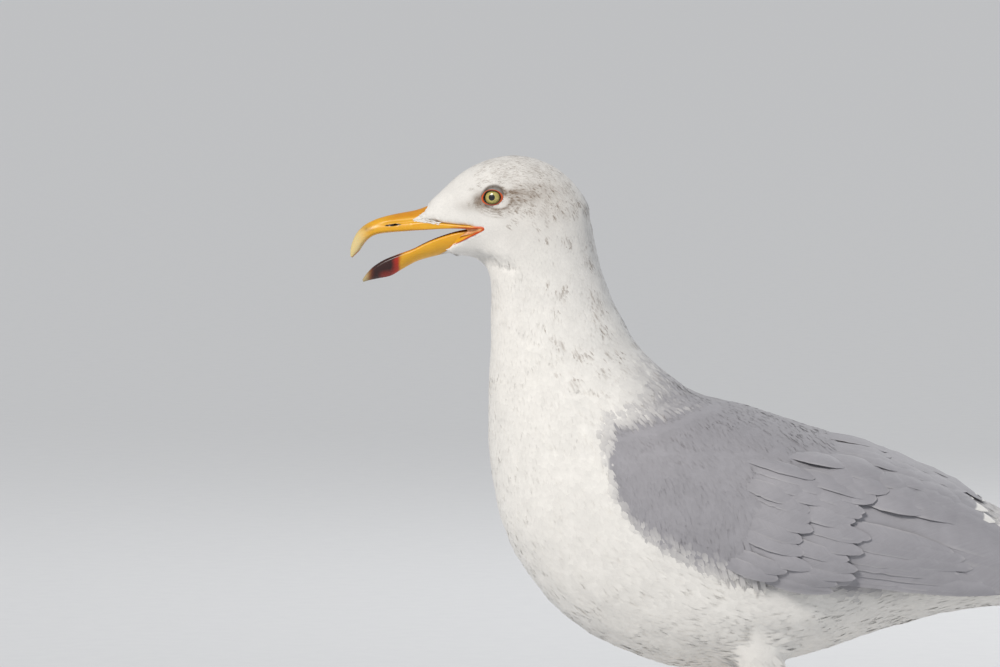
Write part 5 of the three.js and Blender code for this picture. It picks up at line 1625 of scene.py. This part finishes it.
# %% Lids
LID_STEPS, LID_SIDES, LID_RADIUS = 72, 14, 7.3
OPEN_WIDE, OPEN_HIGH = 5.15, 4.15  # half the opening between the lids
SURROUND_ROWS = 7
m = new_material("bare skin of the lid")
margin = node(m, "Attribute", attribute_name="margin", attribute_type="GEOMETRY")
place = node(m, "TexCoord").outputs["Object"]
beads = node(m, "TexVoronoi", {"Vector": place, "Scale": 2200.0})
warm = {0: beads.outputs["Distance"], 6: paint("#cf4a10"), 7: paint("#ee6a22")}
warm = node(m, "Mix", warm, data_type="RGBA")
warm = node(m, "Mix", {0: margin.outputs["Fac"], 6: warm.outputs[2], 7: paint("#1c0d08")}, data_type="RGBA")
bump = node(m, "Bump", {"Height": beads.outputs["Distance"], "Strength": 0.5, "Distance": 0.00012})
lid_skin = finish_material(m, {"Base Color": warm.outputs[2], "Roughness": 0.42, "Normal": bump.outputs[0]})

# The ring is an oval on the ball, with a corner in front and a small one behind.
ahead = unit(np.array([-1.0, 0, 0]) + GAZE * GAZE[0])
up = -np.cross(ahead, GAZE)
up = up if up[2] > 0 else -up
turn = full_turn(LID_STEPS)
front, rear = np.maximum(0, np.cos(turn + math.radians(12))), np.maximum(0, -np.cos(turn))
corner = 0.75 * front**8 + 0.6 * rear**10
reach = np.hypot(OPEN_WIDE * np.cos(turn), OPEN_HIGH * np.sin(turn)) + corner
lean = np.arcsin(np.minimum(reach, 5.0) / LID_RADIUS)[:, None]
away = ahead * np.cos(turn)[:, None] + up * np.sin(turn)[:, None]
out = GAZE * np.cos(lean) + away * np.sin(lean)
slide = away * np.cos(lean) - GAZE * np.sin(lean)
beyond = np.maximum(0, reach - 5.0)[:, None]
centre = EYE + out * LID_RADIUS + away * beyond - GAZE * 0.3 * beyond
t = full_turn(LID_SIDES)[None, :, None]
width = 0.44 * (1 + 1.7 * front**5 + 1.0 * rear**7)[:, None, None]
ring_points = centre[:, None] + slide[:, None] * width * np.cos(t) + out[:, None] * 0.5 * np.sin(t)
inner = ease(0.42, 0.14, width[:, :, 0] * (1 + np.cos(t[:, :, 0]))).ravel()
# Loose skin reaches from under the ring to the skin of the head, so that no gap shows round the eye.
landed = []
for k, start in enumerate(placed(EYE + away * 8.8 + GAZE * 25)):
    place_on = skin_tree.ray_cast(Vector(start), Vector(-GAZE), 0.05)[0]
    landed.append(centre[k] if place_on is None else measured(place_on) - GAZE * 0.6)
landed = np.array(landed)

for label, side in SIDES:
    mirror = [1, side, 1]
    lid_faces = wall_faces(LID_STEPS, LID_SIDES, closed=True)
    lid = write_mesh("lid_" + label, ring_points.reshape(-1, 3) * mirror, lid_faces)
    give_values(lid, "margin", inner)
    settle(lid, lid_skin, "eyelid", "eyelid_" + label)
    near_ring, far_ring = (np.vstack([ring, ring[:1]])[:, None] for ring in (centre, landed))
    v = np.linspace(0, 1, SURROUND_ROWS)[None, :, None]
    top = near_ring * (1 - v) + far_ring * v
    surround = write_plate("eye_surround_" + label, top * mirror, (top - GAZE * 0.4) * mirror)
    points = np.vstack([top.reshape(-1, 3), (top - GAZE * 0.4).reshape(-1, 3)]) * mirror
    # Painted shade: the loose skin darkens towards the lid, as in the shaded socket round the eye.
    to_lid = np.tile(np.linspace(1, 0, SURROUND_ROWS), 2 * (LID_STEPS + 1))
    dress(surround, points, np.zeros(len(points)), face_pigment(points), 0.15 + 0.55 * to_lid)
    settle(surround, contour_keratin, "plumage")
    rng = np.random.default_rng(91)
    k, v = rng.integers(0, LID_STEPS, 700), rng.uniform(0.08, 1, 700)
    keep = v > 0.12 + 0.4 * front[k]
    k, v = k[keep], v[keep]
    roots = (centre[k] * (1 - v)[:, None] + landed[k] * v[:, None]) * mirror
    facing = read_points(surround)[1][k * SURROUND_ROWS + np.round(v * (SURROUND_ROWS - 1)).astype(int)]
    facing = facing * np.sign((facing * GAZE * mirror).sum(1))[:, None]
    lift, length = rng.uniform(4, 8, len(roots)), rng.uniform(1.5, 2.2, len(roots))
    # Painted shade: the feathers above the eye darken towards the lid, as under the brow.
    dark = 0.1 + 0.5 * (1 - v) * (roots[:, 2] > EYE[2] - 1)
    way, size = lie_of_feathers(roots, facing), (length, length * 0.34)
    plant("coat_eye_" + label, "plumage", roots, way, facing, lift, *size, fans(3, 0.5, 24), 92, dark=dark)

# %% [markdown]
# ## Legs and feet
# The leg that shows is the foot's long bone in yellow skin, with the joint at its top. Broad scutes
# run down its front and over the toes, small round scales cover the rest, and a web of thin skin
# joins the front toes. The claws are dark, blunt and curved.

# %% Legs
TOE_ROOT = (152, -30)  # X and Y of the joint that the front toes spring from
TOES = {"inner": (42, 25, 3.1), "middle": (54, 1, 3.4), "outer": (51, -23, 3.1)}
SHANK = [
    [160.9, -27.9, 102, 3.0, 3.0], [161.5, -28, 97, 3.2, 3.2], [162.6, -28.2, 89, 3.4, 3.4],
    [163.7, -28.4, 80, 3.6, 3.8], [164, -28.5, 71, 4.4, 5], [162.3, -28.8, 60, 3, 3.9],
    [158.8, -29.3, 40, 2.5, 3.4], [155.3, -29.8, 22, 2.7, 3.4], [153.6, -29.9, 12, 3.3, 3.6],
]  # fmt: skip
ANKLE = [
    [154.2, -29.9, 15.5, 3.0, 3.5], [153.4, -29.9, 11, 3.4, 3.6], [152, -30, 7.5, 3.8, 3.8],
    [151, -30, 3.2, 3.2, 3.2],
]  # fmt: skip
HIND_TOE = [
    [153, -30, 11.5, 2, 2], [159, -30.4, 10.4, 2, 2], [164, -30.9, 8.6, 1.9, 1.9], [168, -31.4, 6.6, 1.4, 1.4],
]  # fmt: skip
HIND_CLAW = [[167.9, -31.4, 6.6, 1.25, 1.25], [171.6, -31.8, 4.4, 0.8, 0.8], [173.6, -31.9, 1.7, 0.25, 0.25]]
JOINTS = (1, 0.8, 0.96, 0.76, 0.88, 0.66)  # a toe's thickness along it, wide at its joints
m = new_material("scaly skin of legs and feet")
place = node(m, "TexCoord").outputs["Object"]
cells = node(m, "TexVoronoi", {"Vector": place, "Scale": 950.0}, feature="DISTANCE_TO_EDGE")
seam = node(m, "MapRange", {"Value": cells.outputs["Distance"], "From Max": 0.12})
scute = node(m, "Attribute", attribute_name="scute", attribute_type="GEOMETRY")
cloud = node(m, "TexNoise", {"Vector": place, "Scale": 130.0, "Detail": 4.0})
tone = node(m, "Mix", {0: cloud.outputs["Fac"], 6: paint("#d39a22"), 7: paint("#e8bb48")}, data_type="RGBA")
tone = node(m, "Mix", {0: scute.outputs["Fac"], 6: tone.outputs[2], 7: paint("#8f6420")}, data_type="RGBA")
dirt = node(m, "MapRange", {"Value": seam.outputs[0], "To Min": 0.72, "To Max": 1.0})
tone = node(m, "VectorMath", {0: tone.outputs[2], "Scale": dirt.outputs[0]}, operation="SCALE")
bump = node(m, "Bump", {"Height": seam.outputs[0], "Strength": 0.5, "Distance": 0.00018})
leg_skin = finish_material(m, {
    "Base Color": tone.outputs[0], "Roughness": 0.5, "Normal": bump.outputs[0], "Subsurface Weight": 0.05,
    "Subsurface Scale": 0.001,
})  # fmt: skip


def toe_path(toe, share):
    length, turn, radius = TOES[toe]
    turn = math.radians(turn)
    x, y = TOE_ROOT[0] - share * length * np.cos(turn), TOE_ROOT[1] + share * length * np.sin(turn)
    return x, y, 4.65 + (radius * 0.66 - 4.65) * np.minimum(1, share * 2.2)


def seams(distance, pitch):
    """Narrow dark seams between scutes, one every `pitch` millimetres."""
    phase = (distance / pitch) % 1
    return np.maximum(ease(0.16, 0.0, phase), ease(0.9, 1.0, phase))


def web(first, second):
    """The skin between two toes, thin and a little folded, with a hollow front edge."""
    u, v = grid(14, 15)
    share = 0.04 + (0.93 * (1 - 0.16 * np.sin(np.pi * v)) - 0.04) * u
    (ax, ay, _), (bx, by, _) = toe_path(first, share), toe_path(second, share)
    x, y = ax * (1 - v) + bx * v, ay * (1 - v) + by * v
    fold = 0.25 * np.sin(9 * np.pi * v) * np.sin(np.pi * u)
    top = np.stack([x, y, 1.9 - 0.6 * np.sin(np.pi * v) + fold], -1)
    return write_plate("web", top, np.stack([x, y, np.full(x.shape, 0.3)], -1))


def toe_tube(toe):
    radius, stations = TOES[toe][2], []
    for share, size in zip(np.linspace(0, 1, len(JOINTS)), JOINTS):
        stations.append([*toe_path(toe, share), radius * size, radius * size * 0.92])
    return write_mesh("toe", *limb(stations, 20))


def toe_seams(points, facings):
    """The seams between the scutes on top of the front toes."""
    lines = np.zeros(len(points))
    from_root = points[:, :2] - TOE_ROOT
    for _, turn, radius in TOES.values():
        turn = math.radians(turn)
        ahead = -from_root[:, 0] * math.cos(turn) + from_root[:, 1] * math.sin(turn)
        aside = np.abs(from_root[:, 0] * math.sin(turn) + from_root[:, 1] * math.cos(turn))
        on_toe = ease(radius, radius * 0.6, aside) * (ahead > 4) * ease(0.1, 0.5, facings[:, 2])
        lines = np.maximum(lines, seams(ahead, 2.3) * on_toe)
    return lines


def put_on_side(piece, points, side):
    """Both legs are made on the left. The right one is its mirror image."""
    move_points(piece, points * [1, side, 1])
    if side < 0:
        piece.data.flip_normals()


for label, side in SIDES:
    shank = write_mesh("leg_" + label, *limb(SHANK, 28, 26))
    points, facings = read_points(shank)
    front = ease(0.1, 0.5, -facings[:, 0])
    ridge = seams(points[:, 2], 3.1) * front
    put_on_side(shank, points + facings * (0.12 * front - 0.32 * ridge)[:, None], side)
    give_values(shank, "scute", 0.8 * ridge)
    settle(shank, leg_skin, "leg_skin", "shank_" + label)

    toes = [toe_tube(toe) for toe in TOES]
    parts = [write_mesh("ankle", *limb(ANKLE, 20)), *toes, write_mesh("toe", *limb(HIND_TOE))]
    parts += [web("inner", "middle"), web("middle", "outer")]
    foot = smooth_fused(parts, "foot_skin_" + label, 0.00055, 3)
    points, facings = read_points(foot)
    lines = toe_seams(points, facings)
    points -= facings * (0.25 * lines)[:, None]
    points[:, 2] = np.maximum(points[:, 2], 0)
    put_on_side(foot, points, side)
    give_values(foot, "scute", 0.7 * lines)
    settle(foot, leg_skin, "leg_skin", "foot_" + label)

# %% Claws
m = new_material("claw horn")
place = node(m, "TexCoord").outputs["Object"]
growth = node(m, "TexNoise", {"Vector": place, "Scale": 900.0, "Detail": 3.0})
tone = node(m, "Mix", {0: growth.outputs["Fac"], 6: paint("#171310"), 7: paint("#3a302a")}, data_type="RGBA")
bump = node(m, "Bump", {"Height": growth.outputs["Fac"], "Strength": 0.3, "Distance": 0.0001})
claw_horn = finish_material(m, {"Base Color": tone.outputs[2], "Roughness": 0.35, "Normal": bump.outputs[0]})


def claw_stations(toe):
    if toe == "hind":
        return HIND_CLAW
    x, y, base = (float(v) for v in toe_path(toe, 1.0))
    turn, stations = math.radians(TOES[toe][1]), []
    for a in (-0.12, 0, 0.3, 0.55, 0.8, 1):
        ahead, r = a * 8.5 + 0.3, 1.75 * (1 - 0.82 * max(a, 0) ** 1.2)
        z = max(base + 0.9 * math.sin(a * 2.6) - 1.2 * a * a, r * 0.8 + 0.05)
        stations.append([x - ahead * math.cos(turn), y + ahead * math.sin(turn), z, r * 0.8, r])
    return stations


for label, side in SIDES:
    for toe in (*TOES, "hind"):
        points, faces = limb(claw_stations(toe), 14)
        points[:, 2] = np.maximum(points[:, 2], 0)
        nail = write_mesh(f"nail_{toe}_{label}", points * [1, side, 1], faces)
        settle(nail, claw_horn, "claw", f"claw_{toe}_{label}")

# %% [markdown]
# ## Floor, light and camera
# A museum shows a mounted bird on plain ground in soft light. The key light is a wide soft lamp, high
# and to the front of the bird, as a low sun would be. A weak panel fills the far side, and another
# behind it draws the edge of neck and back.

# %% Floor
bpy.ops.mesh.primitive_plane_add(size=240, location=(0, 0, 0))
floor = bpy.context.object
floor.name = "floor"
m = new_material("matt painted board")
place = node(m, "TexCoord").outputs["Object"]
grain = node(m, "TexNoise", {"Vector": place, "Scale": 60.0, "Detail": 4.0})
tone = node(m, "Mix", {0: grain.outputs["Fac"], 6: paint("#dfe0e2"), 7: paint("#e5e6e7")}, data_type="RGBA")
floor.data.materials.append(finish_material(m, {"Base Color": tone.outputs[2], "Roughness": 0.9}))

# %% Soft studio light
world = bpy.data.worlds.new("studio")
bpy.context.scene.world = world
world.use_nodes = True
world.node_tree.nodes["Background"].inputs["Color"].default_value = paint("#c9ced6")
world.node_tree.nodes["Background"].inputs["Strength"].default_value = 0.47
bpy.context.scene.view_settings.view_transform = "Standard"


def panel(name, place, aim, size, watts, colour):
    light = bpy.data.lights.new(name, "AREA")
    light.shape, light.size, light.energy, light.color = "DISK", size, watts, colour
    lamp = add_object(name, light)
    lamp.location = place
    lamp.rotation_euler = (Vector(aim) - Vector(place)).to_track_quat("-Z", "Y").to_euler()


key = bpy.data.lights.new("key", "SUN")
key.energy, key.angle, key.color = 2.25, math.radians(16), (1.0, 0.965, 0.91)
lamp = add_object("key", key)
lamp.rotation_euler = Vector((1.0, 1.5, -1.35)).to_track_quat("-Z", "Y").to_euler()
panel("fill", (2.0, -1.6, 0.9), (-0.1, 0, 0.25), 1.6, 5, (0.9, 0.95, 1.0))
panel("rim", (0.9, 2.0, 1.6), (-0.1, 0, 0.25), 1.0, 14, (1.0, 1.0, 1.0))

# %% Camera
LOOK_AT = Vector((-0.1956, 0.0, 0.2926))
FRAME_WIDTH = 0.5814  # metres across the picture, at the bird
DISTANCE = 4.8
RISE = math.radians(3.0)
camera = add_object("camera", bpy.data.cameras.new("camera"))
camera.location = LOOK_AT + DISTANCE * Vector((0, -math.cos(RISE), math.sin(RISE)))
camera.rotation_euler = (LOOK_AT - camera.location).to_track_quat("-Z", "Y").to_euler()
camera.data.sensor_width = 36
camera.data.lens = 36 * DISTANCE / FRAME_WIDTH
bpy.context.scene.camera = camera
